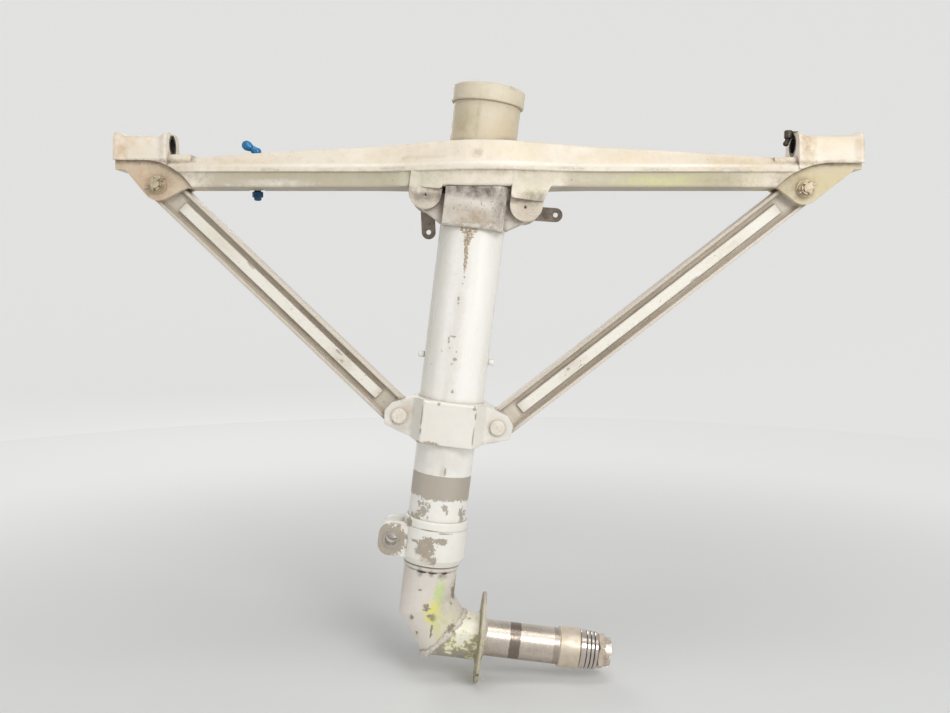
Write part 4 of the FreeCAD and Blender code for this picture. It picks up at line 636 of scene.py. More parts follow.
link_collar_enamel = old_enamel(
    "white_enamel_link_collar", "f5f2e9", "e6e0d4", axes=BARREL, roughness=0.34, mottle=0.35, lumps=0.25,
    edge_wear=0.5, edge_hex="cbbfae", crease=("857a6c", 5.0, 0.65), metal="a09586", specks=(0.74, "6a5848"),
    stains=[((-6, -34, -430), (5, 8, 7), "c39b74", 0.7), ((-14, -33, -424), (5, 8, 5), "c0a283", 0.5),
            ((-46, -20, -404), (18, 4, 4), "e8e2d6", 0.6)],
    flakes=[((-7, -34, -421), (10, 9, 10.5), 0.75), ((6, -33, -411), (7, 9, 3.0), 1.0),
            ((2, -33, -432), (4, 9, 6), 1.0), ((-20, -30, -414), (3.5, 9, 1.6), 0.9),
            ((-47, -20, -419), (19, 5, 19), 0.35), ((-6, -34, -400.6), (9, 8, 0.6), 0.6),
            ((10, -33, -402.4), (7, 8, 0.6), 0.6), ((-28, -20, -397), (3, 8, 4), 0.8)])
print("collars ready")

# %% [markdown]
# ## The elbow and the brake flange
# The elbow is a rough welded casting.  Its coat has gone soft and pitted, and a patch beside the
# weld has lost its topcoat and shows yellow-green primer.  The stub beyond the weld is half bare.

# %% Elbow and flange
elbow_enamel = old_enamel(
    "white_enamel_elbow", "e9e1d8", "d8cec2", axes=BARREL, roughness=0.5, mottle=0.55, lumps=0.6,
    edge_wear=0.4, edge_hex="b9ae9c", crease=("6e6252", 6.0, 0.7), metal="8a8073", primer="dcdc9a",
    primer_share=0.25, specks=(0.71, "574a3e"),
    stains=[((13, -26, -471), (5.5, 14, 17), "cfdf9c", 1.4), ((8, -27, -489), (8, 14, 12), "ece57e", 1.4),
            ((16, -24, -506), (6, 14, 12), "dfdc96", 0.9), ((9, -27, -494), (3, 14, 3.5), "6c5f50", 1.2),
            ((22, -20, -494), (12, 18, 8), "dfe0a0", 0.8), ((22, -18, -482), (9, 16, 20), "c9c1b4", 0.7),
            ((-10, -28, -448), (3, 10, 4), "3f352c", 0.8), ((2, -28, -447), (2.5, 10, 3), "3f352c", 0.8),
            ((14, -26, -449), (4, 10, 4), "574a3e", 0.7), ((0, -20, -446), (34, 30, 1.2), "6c5f50", 0.7),
            ((-20, -20, -500), (10, 14, 30), "f1ece4", 0.5)],
    flakes=[((1.0, -28, -484), (2.6, 8, 3.4), 1.2), ((6.5, -27, -492.5), (2.6, 8, 2.0), 1.0),
            ((-13, -26, -499), (1.8, 8, 4.5), 1.2), ((9, -26, -508), (1.0, 8, 7.0), 1.0),
            ((-8, -27, -466), (1.4, 8, 1.2), 1.0), ((-6, -24, -517), (1.6, 8, 2.4), 1.2),
            ((30, -10, -504), (4, 22, 5), 1.0), ((34, -14, -532), (14, 26, 10), 0.8),
            ((27, 0, -470), (2.4, 20, 12), 1.0)])
flange_enamel = old_enamel(
    "cream_enamel_brake_flange", "d2c9b4", "a89e86", axes=BARREL, roughness=0.55, mottle=0.8, lumps=0.3,
    edge_wear=0.95, edge_hex="6f6656", crease=("6b6350", 4.0, 0.6), metal="8b8376", primer="d3d39c",
    primer_share=0.4, specks=(0.67, "6b5d4a"),
    stains=[((60, -20, -530), (6, 34, 20), "cdc893", 0.5), ((60, -30, -555), (6, 30, 16), "b9ae86", 0.6)],
    flakes=[((62, -30, -545), (6, 14, 3), 0.9), ((62, -38, -505), (6, 5, 8), 0.9),
            ((62, -10, -560), (6, 16, 4), 0.9)])
print("painted finishes", len([m for m in bpy.data.materials if "enamel" in m.name]))

# %% [markdown]
# ## Plated, ground and bare pieces
# The axle journal is ground steel, polished by its bearings, with a dark ring where grease baked
# on between them.  Bolts are cadmium plated.  Fittings for oil are anodised blue by custom.  All come
# from one helper, because they differ only in colours, roughness, marks, dirt and painted shade in
# their hollows.

# %% Ground, turned and plated
# Ground and run in by its bearings: bright, with a soft sheen.
axle_steel = turned_metal(
    "ground_steel_axle", "dacfc2", "a89b8d", 0.27, BARREL, rings_mm=0.282743, dirt=0.4, pits=0.15,
    bands=[(68, 91, "c7bdb0", 0.4), (92.5, 105, "6e6258", 0.8), (140, 146.6, "8c8074", 0.5)],
    # The smudges along the top are partly grease and partly a painted dark reflection; the broad stain along
    # the underside is painted shade.
    stains=[((112, -8, -500), (20, 12, 5), "6f6355", 0.25), ((86, -8, -500), (6, 12, 5), "6f6355", 0.2),
            ((112, -10, -543), (62, 18, 13), "7d7064", 0.7)])
# Turned, left as cut and stained: satin.
spacer_steel = turned_metal(
    "satin_steel_spacer", "ddd0bd", "b8a994", 0.40, BARREL, rings_mm=0.376991, dirt=0.5, metallic=0.6)
# Chrome ground after plating: the sharpest mirror here, painted dark as shade in the gaps between its rings.
chrome_plate = turned_metal(
    "hard_chrome", "d2c9c1", "958b81", 0.14, BARREL, rings_mm=0.439823, dirt=0.25, grime_and_shade=("2c2620", 0.9, 2.5))
# Cadmium, passivated long ago: straw coloured and dull.
cadmium_plate = turned_metal(
    "dull_cadmium_plate", "d2c3a8", "97876c", 0.45, dirt=0.7, metallic=0.6, pits=0.4)
# Bolts sprayed over with the strut: nearly paint, thin on the corners.
lower_bolt_plate = turned_metal(
    "painted_over_bolt_head", "eee6d8", "c9bda8", 0.5, BARREL, dirt=0.5, metallic=0.1, pits=0.25)
# The axle's nut, handled at each wheel change: brighter cadmium.
nut_plate = turned_metal("castellated_nut_plate", "e6d8c8", "9b8b7b", 0.33, BARREL, dirt=0.5, pits=0.2)
print("plated finishes", [m.name for m in (cadmium_plate, lower_bolt_plate, nut_plate)])

# %% Bare, greased and anodised
# Spring and tube steel with no plating: grey, a little rusty in its pits.
bare_steel = turned_metal("bare_steel", "bcb2a6", "7d7367", 0.36, BARREL, dirt=0.5, pits=0.3)
# Bushes, painted near black deep in their bores as the shade inside the holes.
link_steel = turned_metal(
    "plated_bush_steel", "c9c1b8", "8f877c", 0.35, BARREL, dirt=0.4, pits=0.1, grime_and_shade=("0f0d0b", 1.0, 9.0))
# Cast bearing bronze, bored and oiled.
bronze = turned_metal("bearing_bronze", "a98a5e", "6b563a", 0.40, dirt=0.6)
# Greased trunnion bushes, dark, and painted near black deep in their bores as shade.
trunnion_steel = turned_metal(
    "greased_bush_steel", "5e564c", "2b2622", 0.45, dirt=0.9, metallic=0.8, pits=0.5,
    grime_and_shade=("0f0d0b", 1.0, 12.0))
# Folded sheet steel, weathered to a dull brown-grey.
bracket_steel = turned_metal(
    "weathered_bracket_steel", "9b9084", "6b6056", 0.6, dirt=0.9, metallic=0.3, pits=0.5)
# Aluminium dyed blue in the anodising bath: coloured, yet still metallic.
blue_anodised = turned_metal(
    "blue_anodised_fitting", "3f86b8", "1f4c74", 0.35, dirt=0.6, metallic=0.7, pits=0.2)
grimy_anodised = turned_metal(
    "grimy_blue_anodised_plug", "2b5f86", "14283a", 0.45, dirt=0.9, metallic=0.5, pits=0.5)
print("bare finishes", [m.name for m in (bare_steel, link_steel, bronze, trunnion_steel, bracket_steel)])

# %% [markdown]
# ## Seals
# The seals are moulded nitrile rubber: black, slightly rough, with a bloom of grey where it dries.

# %% Rubber
BLOOM_MM, SKIN_MM, SKIN_HEIGHT_MM = 4.0, 0.8, 0.05
rubber, tree, shader, place = blank_finish("moulded_nitrile_rubber")
bloom = add(tree, "TexNoise", {"Vector": place, "Scale": 1 / BLOOM_MM, "Detail": 4.0})
tree.links.new(add(tree, "Mix", {0: bloom, 6: linear("17150f"), 7: linear("2f2c27")}, 2, data_type="RGBA"),
               shader.inputs["Base Color"])
shader.inputs["Roughness"].default_value = 0.6
skin = add(tree, "TexNoise", {"Vector": place, "Scale": 1 / SKIN_MM, "Detail": 2.0})
mould_skin = add(tree, "Bump", {"Height": skin, "Distance": SKIN_HEIGHT_MM / MM})
tree.links.new(mould_skin, shader.inputs["Normal"])
print("rubber ready")

# %% [markdown]
# ## Dressing the pieces
# A node keeps the material slots it came with, and each slot is filled with the finish that fits the
# piece.  Small hardware that is named nowhere in the list is cadmium plated, as bolts and pins are.

# %% Which piece wears which finish
wears = {
    forging: ["cross_brace"], left_brace_enamel: ["left_diagonal_brace"],
    right_brace_enamel: ["right_diagonal_brace"],
    barrel_enamel: ["barrel", "barrel_pegs"], cap_enamel: ["barrel_cap"], block_enamel: ["head_saddle"],
    collar_enamel: ["brace_collar"], link_collar_enamel: ["link_collar"], elbow_enamel: ["elbow"],
    flange_enamel: ["brake_flange"], spacer_steel: ["axle_spacer"],
    chrome_plate: ["axle_washer", "axle_rings", "piston_tube"], nut_plate: ["axle_nut"],
    lower_bolt_plate: ["lower_brace_bolts"], bracket_steel: ["left_hose_bracket", "right_hose_bracket"],
    bare_steel: ["saddle_roll_pins", "upper_brace_cotters", "orifice_tube", "metering_pin", "collar_liner",
                 "gland_snap_ring", "piston_snap_ring"],
    blue_anodised: ["hydraulic_union", "union_locknut", "union_cap"],
    rubber: ["cap_seal", "gland_seal", "wiper_ring"], link_steel: ["link_collar_bushes", "elbow_link_bushes"],
    trunnion_steel: ["left_trunnion_bushes", "right_trunnion_bushes", "grease_elbow"],
    bronze: ["brace_bushes", "gland_bearing", "upper_bearing"],
}
finish_of = {node_name: finish for finish, names in wears.items() for node_name in names}
for node_name, piece in frame["nodes"].items():
    if not piece.data.materials:
        piece.data.materials.append(cadmium_plate)
    for slot_number in range(len(piece.material_slots)):
        piece.material_slots[slot_number].material = finish_of.get(node_name, cadmium_plate)
plain = set(frame["nodes"]) - set(finish_of)
print("finished nodes", len(frame["nodes"]), "of which plain cadmium", len(plain))

# %% [markdown]
# ## The axle's two finishes
# The axle is one forging, painted on its stub and ground bare on its journal.  One node carries
# both, so the paint is mixed into the steel by distance along the axle.  The paint has half flaked
# off, and leaves yellow-green primer in streaks.  More white is left towards the top of the stub,
# which is partly paint and partly a painted highlight on the top.

# %% Axle
PAINT_END = 66.0
STUB_FOOT, STUB_TOP = -540.0, -500.0
TATTER_MM = 12
PRIMER_FROM, COAT_FROM = 0.465, 0.51
axle_tree = axle_steel.node_tree
axle_shader = [node for node in axle_tree.nodes if node.type == "BSDF_PRINCIPLED"][0]
axle_place = [node for node in axle_tree.nodes if node.type == "VECTOR_ROTATE"][0].outputs[0]
steel = {name: axle_shader.inputs[name].links[0].from_socket for name in ("Base Color", "Roughness")}
along_axle = add(axle_tree, "SeparateXYZ", (axle_place,))
stub = add(axle_tree, "MapRange", (along_axle, PAINT_END, PAINT_END - 1.0))
tatter = add(axle_tree, "TexNoise", {"Vector": axle_place, "Scale": 1 / TATTER_MM, "Detail": 6.0,
                                     "Roughness": 0.68})
height_on_stub = add(axle_tree, "SeparateXYZ", (axle_place,), 2)
# More white towards the top of the stub: partly paint, partly a painted highlight.
paint_and_highlight_upward = add(axle_tree, "MapRange", (height_on_stub, STUB_FOOT, STUB_TOP, -0.07, 0.10))
tatter = add(axle_tree, "Math", (tatter, paint_and_highlight_upward))
paint_and_highlight = add(axle_tree, "MapRange", (tatter, COAT_FROM, COAT_FROM + 0.02))
paint_and_highlight = add(axle_tree, "Math", (paint_and_highlight, stub), operation="MULTIPLY")
primed = add(axle_tree, "MapRange", (tatter, PRIMER_FROM, PRIMER_FROM + 0.035, 0.0, 0.8))
primed = add(axle_tree, "Math", (primed, stub), operation="MULTIPLY")
dull_stub = add(axle_tree, "Math", (stub, 0.65), operation="MULTIPLY")
skin = add(axle_tree, "Mix", {0: dull_stub, 6: steel["Base Color"], 7: linear("9a9184")}, 2, data_type="RGBA")
skin = add(axle_tree, "Mix", {0: primed, 6: skin, 7: linear("dfe08c")}, 2, data_type="RGBA")
skin = add(axle_tree, "Mix", {0: paint_and_highlight, 6: skin, 7: linear("f5f1df")}, 2, data_type="RGBA")
axle_tree.links.new(skin, axle_shader.inputs["Base Color"])
gloss = add(axle_tree, "Mix", {0: stub, 2: steel["Roughness"], 3: 0.36})
axle_tree.links.new(gloss, axle_shader.inputs["Roughness"])
half_bare = add(axle_tree, "Mix", {0: stub, 2: 1.0, 3: 0.5})
half_bare = add(axle_tree, "Mix", {0: primed, 2: half_bare, 3: 0.0})
axle_tree.links.new(half_bare, axle_shader.inputs["Metallic"])
frame["nodes"]["axle"].material_slots[0].material = axle_steel
print("paint ends", PAINT_END, "mm along the axle")

# %% [markdown]
# ## From rings of points to a piece
# The pieces that follow are skins: rings of points, joined to their neighbours by faces.  A curve
# with a bevel or a modifier would be shorter to write, but each of its sections is like the last.
# Here every point of a ring can be its own, as a weld's or a milled run-out's are.

# %% Rings and pieces
def join_rings(mesh, rings, closed=False):
    """Faces from each ring to the next; rings that don't close on themselves get two end caps."""
    following = rings[1:] + rings[:1] if closed else rings[1:]
    for near, far in zip(rings, following):
        for j in range(len(near)):
            after = (j + 1) % len(near)
            mesh.faces.new((near[j], near[after], far[after], far[j]))
    if not closed:
        mesh.faces.new(list(reversed(rings[0])))
        mesh.faces.new(rings[-1])


def new_piece(name, mesh, *materials):
    """Makes an object in the scene from a bmesh, with its faces turned outward."""
    bmesh.ops.recalc_face_normals(mesh, faces=mesh.faces)
    data = bpy.data.meshes.new(name)
    mesh.to_mesh(data)
    mesh.free()
    for material in materials:
        data.materials.append(material)
    piece = bpy.data.objects.new(name, data)
    bpy.context.scene.collection.objects.link(piece)
    return piece


def on_barrel(across, through, drop):
    """A point given in mm across, through and down the barrel, in metres."""
    return upright @ Vector((across / MM, through / MM, -drop / MM))


print("100 mm down the barrel is", [round(v, 4) for v in on_barrel(0, 0, 100)], "m")

# %% [markdown]
# ## Lumpy beads
# A weld and a roll of grease are both beads: a small round section swept along a line, with lumps.
# Each point is pushed out by a noise, and a weld's rings swell and shrink with the welder's ripples.

# %% Bead along a line
SECTION_POINTS = 10
FINE_LUMPS, BROAD_LUMPS = 420, 130
BLUNT_END = 0.02


def lumpy_bead(name, line, closed, radius, flat, lumps, ripple_pitch, ripple, material, out_of):
    """Sweeps a lumpy section along points in metres; lump noises are per metre.

    flat: height over half width.  ripple: swelling as a share of the radius, every ripple_pitch.
    out_of: gives the outward direction at a point.
    """
    mesh = bmesh.new()
    rings = []
    travelled = 0.0
    for i, point in enumerate(line):
        before = line[i - 1] if i or closed else line[0]
        after = line[(i + 1) % len(line)] if closed or i + 1 < len(line) else line[-1]
        forward = (after - before).normalized()
        outward = out_of(point)
        outward = (outward - forward * outward.dot(forward)).normalized()
        sideways = forward.cross(outward)
        travelled += (point - line[i - 1]).length if i else 0.0
        size = radius * (1 + ripple * math.sin(2 * math.pi * travelled / ripple_pitch))
        if not closed:
            size *= math.sqrt(max(BLUNT_END, math.sin(math.pi * (i + 0.5) / len(line))))
        ring = []
        for j in range(SECTION_POINTS):
            turn = 2 * math.pi * j / SECTION_POINTS
            shape = sideways * math.cos(turn) * size + outward * math.sin(turn) * size * flat
            bump = noise.noise((point + shape) * FINE_LUMPS) + 0.8 * noise.noise(point * BROAD_LUMPS)
            ring.append(mesh.verts.new(point + shape * (1 + lumps * bump)))
        rings.append(ring)
    join_rings(mesh, rings, closed)
    bead = new_piece(name, mesh, material)
    bead.data.shade_smooth()
    return bead


print("fine lumps are about", round(MM / FINE_LUMPS, 1), "mm, broad ones", round(MM / BROAD_LUMPS, 1), "mm")

# %% [markdown]
# ## The milled bars
# The diagonal braces are milled bars.  The cutter runs on until it meets the round of each eye, so
# under the lugs the grooves have no blunt end.  A bar could be cut with booleans, but its faces are
# all steps across the bar, so it is laid up in sections instead: each section is a ring of points
# at set distances across, and only their depths change along the bar.  The bolt holes are cut last.

# %% Sections of a bar
HALF_WIDTH, HALF_THICK = BRACE_EYE_RADIUS, 9.5
TIP_HALF_WIDTH = 0.4
FLANGE, WEB_HALF = 3.4, 3.4
RIB_HALF_WIDTH, RIB_HALF_THICK = 5.5, 7.6
GROOVE_START, GROOVE_OPENS = 13.0, ((0.0, 0.0), (0.6, 0.45), (2.2, 0.85), (5.0, 1.0))
RIB_START, RIB_RISES = 30.0, ((0.0, 0.0), (0.5, 0.9), (1.0, 1.0))
ROUND_STEPS, STRETCH = 12, 12.0


def bar_sections(length):
    """Distances along the bar, half width there, and how much of groove and rib is open, 0 to 1."""
    sections = []
    for i in range(ROUND_STEPS + 1):
        turn = math.pi / 2 * i / ROUND_STEPS
        half = max(TIP_HALF_WIDTH, HALF_WIDTH * math.sin(turn))
        sections.append((-HALF_WIDTH * math.cos(turn), half, 0.0, 0.0))
    sections += [(GROOVE_START + run, HALF_WIDTH, groove, 0.0) for run, groove in GROOVE_OPENS]
    sections += [(RIB_START + run, HALF_WIDTH, 1.0, rib) for run, rib in RIB_RISES]
    far_end = [(length - run, half, groove, rib) for run, half, groove, rib in reversed(sections)]
    between_ends = length - 2 * RIB_START
    steps = int(between_ends / STRETCH)
    between = [(RIB_START + between_ends * i / steps, HALF_WIDTH, 1.0, 1.0) for i in range(1, steps)]
    return sections + between + far_end


print("sections", len(bar_sections(left_axes[2])), "and", len(bar_sections(right_axes[2])))

# %% Skin of a bar
# Where the skin turns: distance across, broken edge, drop in an open groove, rise of a full rib.
INSIDE = HALF_WIDTH - FLANGE
GROOVE_DROP = HALF_THICK - WEB_HALF
RIB_RISE = RIB_HALF_THICK - WEB_HALF
TURNS = (
    (HALF_WIDTH, 0.5, 0.0, 0.0),
    (HALF_WIDTH - 0.5, 0.0, 0.0, 0.0),
    (INSIDE + 0.4, 0.0, 0.0, 0.0),
    (INSIDE, 0.0, 0.6, 0.0),
    (INSIDE - 0.3, 0.0, GROOVE_DROP - 1.0, 0.0),
    (INSIDE - 1.4, 0.0, GROOVE_DROP, 0.0),
    (RIB_HALF_WIDTH + 0.9, 0.0, GROOVE_DROP, 0.0),
    (RIB_HALF_WIDTH + 0.1, 0.0, GROOVE_DROP, RIB_RISE - 0.5),
    (RIB_HALF_WIDTH - 0.5, 0.0, GROOVE_DROP, RIB_RISE),
)


def bar_ring(section, to_world):
    """Points round the bar at a section, front face first, in metres."""
    run, half, groove, rib = section
    across = [(-1, turn) for turn in TURNS] + [(1, turn) for turn in reversed(TURNS)]
    points = []
    for face in (-1, 1):
        for side, (out, edge, drop, rise) in across if face < 0 else reversed(across):
            depth = max(HALF_THICK - edge - groove * drop, WEB_HALF + rib * rise)
            points.append(to_world(Vector((run, face * depth, side * out * half / HALF_WIDTH))))
    return points


print("groove", round(GROOVE_DROP, 1), "mm deep, rib", round(RIB_RISE, 1), "mm high")

# %% Milled bars
EYE_BORE = 6.36
DRILL_LENGTH, DRILL_SIDES = 40, 40


def drill_eyes(bar, length, to_world):
    """Cuts both bolt holes and keeps the cut mesh."""
    drill = bmesh.new()
    for run in (0.0, length):
        hole = bmesh.ops.create_cone(drill, cap_ends=True, segments=DRILL_SIDES, radius1=EYE_BORE / MM,
                                     radius2=EYE_BORE / MM, depth=DRILL_LENGTH / MM)["verts"]
        bmesh.ops.rotate(drill, verts=hole, matrix=Matrix.Rotation(math.pi / 2, 3, "X"))
        bmesh.ops.translate(drill, verts=hole, vec=to_world(Vector((run, 0, 0))))
    drill_piece = new_piece("drill", drill)
    bore = bar.modifiers.new("bore", "BOOLEAN")
    bore.object = drill_piece
    bore.solver = "EXACT"
    bpy.context.view_layer.update()
    drilled = bpy.data.meshes.new_from_object(bar.evaluated_get(bpy.context.evaluated_depsgraph_get()))
    bar.modifiers.clear()
    bar.data = drilled
    bpy.data.objects.remove(drill_piece)


def milled_bar(name, node, axes, material):
    """One brace in place of its plain node."""
    turn_back = Matrix.Rotation(-axes[1], 3, "Y")

    def to_world(point):
        return (turn_back @ point + Vector(axes[0])) / MM

    mesh = bmesh.new()
    rings = [[mesh.verts.new(point) for point in bar_ring(section, to_world)]
             for section in bar_sections(axes[2])]
    join_rings(mesh, rings)
    bar = new_piece(name, mesh)
    drill_eyes(bar, axes[2], to_world)
    bar.data.materials.clear()
    bar.data.materials.append(material)
    bar.data.shade_flat()
    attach(bar, "leg")
    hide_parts(node)
    return bar


left_bar = milled_bar("left_milled_bar", "left_diagonal_brace", left_axes, left_brace_enamel)
right_bar = milled_bar("right_milled_bar", "right_diagonal_brace", right_axes, right_brace_enamel)
print("bars", [len(bar.data.polygons) for bar in (left_bar, right_bar)], "faces")

# %% [markdown]
# ## The elbow's weld
# The stub is welded to the elbow on a slant, from a throat above to a heel below, and the welder's
# ripples are a few millimetres apart.  The bead follows the slanted ellipse where the two meet.

# %% Weld bead
AXLE_DROP = 518.2
STUB_RADIUS = 24.6
HEEL_ACROSS, THROAT_ACROSS = 2.0, 42.0
WELD_POINTS = 120
weld_middle = (HEEL_ACROSS + THROAT_ACROSS) / 2
weld_line = []
for i in range(WELD_POINTS):
    turn = 2 * math.pi * i / WELD_POINTS
    up = math.cos(turn)
    across = weld_middle + (THROAT_ACROSS - HEEL_ACROSS) / 2 * up
    weld_line.append(on_barrel(across, STUB_RADIUS * math.sin(turn), AXLE_DROP - STUB_RADIUS * up))
weld_centre = on_barrel(weld_middle, 0, AXLE_DROP)
weld = lumpy_bead("elbow_weld", weld_line, True, radius=0.0033, flat=0.7, lumps=0.7, ripple_pitch=0.0042,
                  ripple=0.14, material=elbow_enamel, out_of=lambda point: point - weld_centre)
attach(weld, "piston")
print("weld is", round(sum((a - b).length for a, b in zip(weld_line, weld_line[1:])) * MM), "mm round")

# %% [markdown]
# ## The plug in the oil port
# The blue fitting's lower port is closed by a turned plug with a hexagon, so that dirt stays out.  It
# is laid up from rings: round where it screws in, six sided where a spanner goes, then a dome.

# %% Port plug
ROUND, HEXAGON = False, True
PLUG_POINTS = 36
PLUG = [(3.6, 2.0, ROUND), (3.6, -1.0, ROUND), (5.2, -1.2, HEXAGON), (5.8, -1.8, HEXAGON),
        (5.8, -6.6, HEXAGON), (5.2, -7.2, HEXAGON), (3.9, -7.3, ROUND), (3.9, -9.2, ROUND),
        (3.0, -10.4, ROUND), (0.6, -10.8, ROUND)]
port = [entry for entry in record["mounts"] if entry["name"] == "hydraulic_port"][0]
port_foot = Vector(port["pos_m"]) * MM
plug_mesh = bmesh.new()
plug_rings = []
for radius, height, outline in PLUG:
    ring = []
    for j in range(PLUG_POINTS):
        turn = 2 * math.pi * j / PLUG_POINTS
        to_flat = math.cos(math.pi / 6) / math.cos((turn % (math.pi / 3)) - math.pi / 6)
        reach = radius * to_flat if outline is HEXAGON else radius
        offset = Vector((reach * math.cos(turn), reach * math.sin(turn), height))
        ring.append(plug_mesh.verts.new((port_foot + offset) / MM))
    plug_rings.append(ring)
join_rings(plug_mesh, plug_rings)
port_plug = new_piece("port_plug", plug_mesh, grimy_anodised)
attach(port_plug, "leg")
print("plug", len(port_plug.data.polygons), "faces, foot at", round(port_foot.z + PLUG[-1][1], 1), "mm")

# %% [markdown]
# ## The sealant below the head block
# A granular run of old sealant comes out from under the block in the middle of the barrel, wide at
# the top and thin below.  It is a sheet of grains on the barrel's skin: a grid bent round the
# barrel, with each point lifted by noise, and lost under the paint where the noise is low.

# %% Sealant
CRUMB_MM, CRUMB_HEIGHT_MM = 1.8, 0.6
sealant, tree, shader, place = blank_finish("granular_tan_sealant", BARREL)
crumb = add(tree, "TexNoise", {"Vector": place, "Scale": 1 / CRUMB_MM, "Detail": 4.0, "Roughness": 0.7})
tone = add(tree, "MapRange", (crumb, 0.35, 0.65))
tree.links.new(add(tree, "Mix", {0: tone, 6: linear("a08a6c"), 7: linear("d9cbb4")}, 2, data_type="RGBA"),
               shader.inputs["Base Color"])
shader.inputs["Roughness"].default_value = 0.85
crumbs = add(tree, "Bump", {"Height": crumb, "Distance": CRUMB_HEIGHT_MM / MM})
tree.links.new(crumbs, shader.inputs["Normal"])
print("crumbs are", CRUMB_MM, "mm")

# %% Shape of the run
BARREL_RADIUS = 33.8
BLOCK_FOOT, TUCKED_UNDER = 87.5, 1.5
RUN_LENGTH = 52.0
STRAND, TAPER = 3.6, 1.8
MOUTH, MOUTH_SHARE = 9.0, 0.34
LUMPS_PER_MM, GRAINS_PER_MM = 0.45, 1.15
ROWS, COLUMNS = 110, 60


def run_edges(share):
    """Middle and half width of the run in mm, at a share of its length."""
    half_width = STRAND + MOUTH * max(0.0, 1 - share / MOUTH_SHARE) ** 1.3 - TAPER * share
    return -1.5 - 2.5 * min(1.0, share / 0.3) + 2.0 * share, half_width


def run_lift(across, drop, fade):
    """Height over the barrel in mm: lumps of 2 mm and of 1 mm, sunk where fade nears 0."""
    spot = Vector((across, drop, 0.0))
    lump = 0.5 + 1.5 * noise.noise(spot * LUMPS_PER_MM) + 1.3 * noise.noise(spot * GRAINS_PER_MM)
    return max(-0.5, 0.8 * lump * fade - 0.30 * (1 - fade) - 0.05)


widths = [round(2 * run_edges(share)[1], 1) for share in (0, 1)]
print("the run is", widths[0], "mm wide above and", widths[1], "mm below")

# %% Sealant run
grid = bmesh.new()
rows = []
for i in range(ROWS + 1):
    share = i / ROWS
    drop = BLOCK_FOOT - TUCKED_UNDER + share * RUN_LENGTH
    run_middle, half_width = run_edges(share)
    row = []
    for j in range(COLUMNS + 1):
        side = 2 * j / COLUMNS - 1
        ragged = 1 + 0.7 * noise.noise(Vector((side * 0.6, drop * 0.28, 1.7)))
        across = run_middle + side * half_width * ragged
        fade = (1 - side * side) * min(1.0, (1 - share) * 4)
        radius = BARREL_RADIUS + run_lift(across, drop, fade)
        angle = across / BARREL_RADIUS
        row.append(grid.verts.new(on_barrel(radius * math.sin(angle), -radius * math.cos(angle), drop)))
    rows.append(row)
for upper, lower in zip(rows, rows[1:]):
    for j in range(COLUMNS):
        grid.faces.new((upper[j], lower[j], lower[j + 1], upper[j + 1]))
sealant_run = new_piece("sealant_run", grid, sealant)
sealant_run.data.shade_smooth()
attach(sealant_run, "leg")
print("sealant run", RUN_LENGTH, "mm long")

# %% [markdown]
# ## Old grease under the elbow's lip
# Grease wiped down by the gland collects in a roll below the elbow's lip and goes black.  It is
# broken into three short beads, because a full ring would look like a seal.

# %% Grease
SOOT_MM = 2.0
old_grease, tree, shader, place = blank_finish("old_black_grease", BARREL)
soot = add(tree, "TexNoise", {"Vector": place, "Scale": 1 / SOOT_MM, "Detail": 3.0})
tree.links.new(add(tree, "Mix", {0: soot, 6: linear("2a231c"), 7: linear("5a4b3b")}, 2, data_type="RGBA"),
               shader.inputs["Base Color"])
shader.inputs["Roughness"].default_value = 0.35
LIP_FOOT = 446.6
ELBOW_RADIUS = 28.4
ROLL_STEPS = 24
lip_centre = on_barrel(0, 0, LIP_FOOT)
for number, (start, end) in enumerate(((-118, -98), (-92, -74), (-62, -50)), 1):
    turns = [math.radians(start + (end - start) * i / ROLL_STEPS) for i in range(ROLL_STEPS + 1)]
    line = [on_barrel(ELBOW_RADIUS * math.cos(a), ELBOW_RADIUS * math.sin(a), LIP_FOOT) for a in turns]
    roll = lumpy_bead("grease_roll_" + str(number), line, False, radius=0.0010, flat=0.8, lumps=0.6,
                      ripple_pitch=0.003, ripple=0.1, material=old_grease,
                      out_of=lambda point: point - lip_centre)
    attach(roll, "piston")

# %% [markdown]
# ## The stage
# A photographer's paper would hide the corner behind the strut, but only from one side.  Here the
# floor is a round sheet, and a pale bowl stands round it with a big radius at its foot, so there is
# no corner from any side.  The bowl is only for the eye and for mirrors: light passes through it.
# Far from the strut the paper shows a tone of its own, so that lamps hardly draw a horizon on it.
# The lamps strike the floor and the bowl at different slants, so each has its own far tone.
# The foot goes down when the piston slides out, so both sheets hang on the body that only slides.

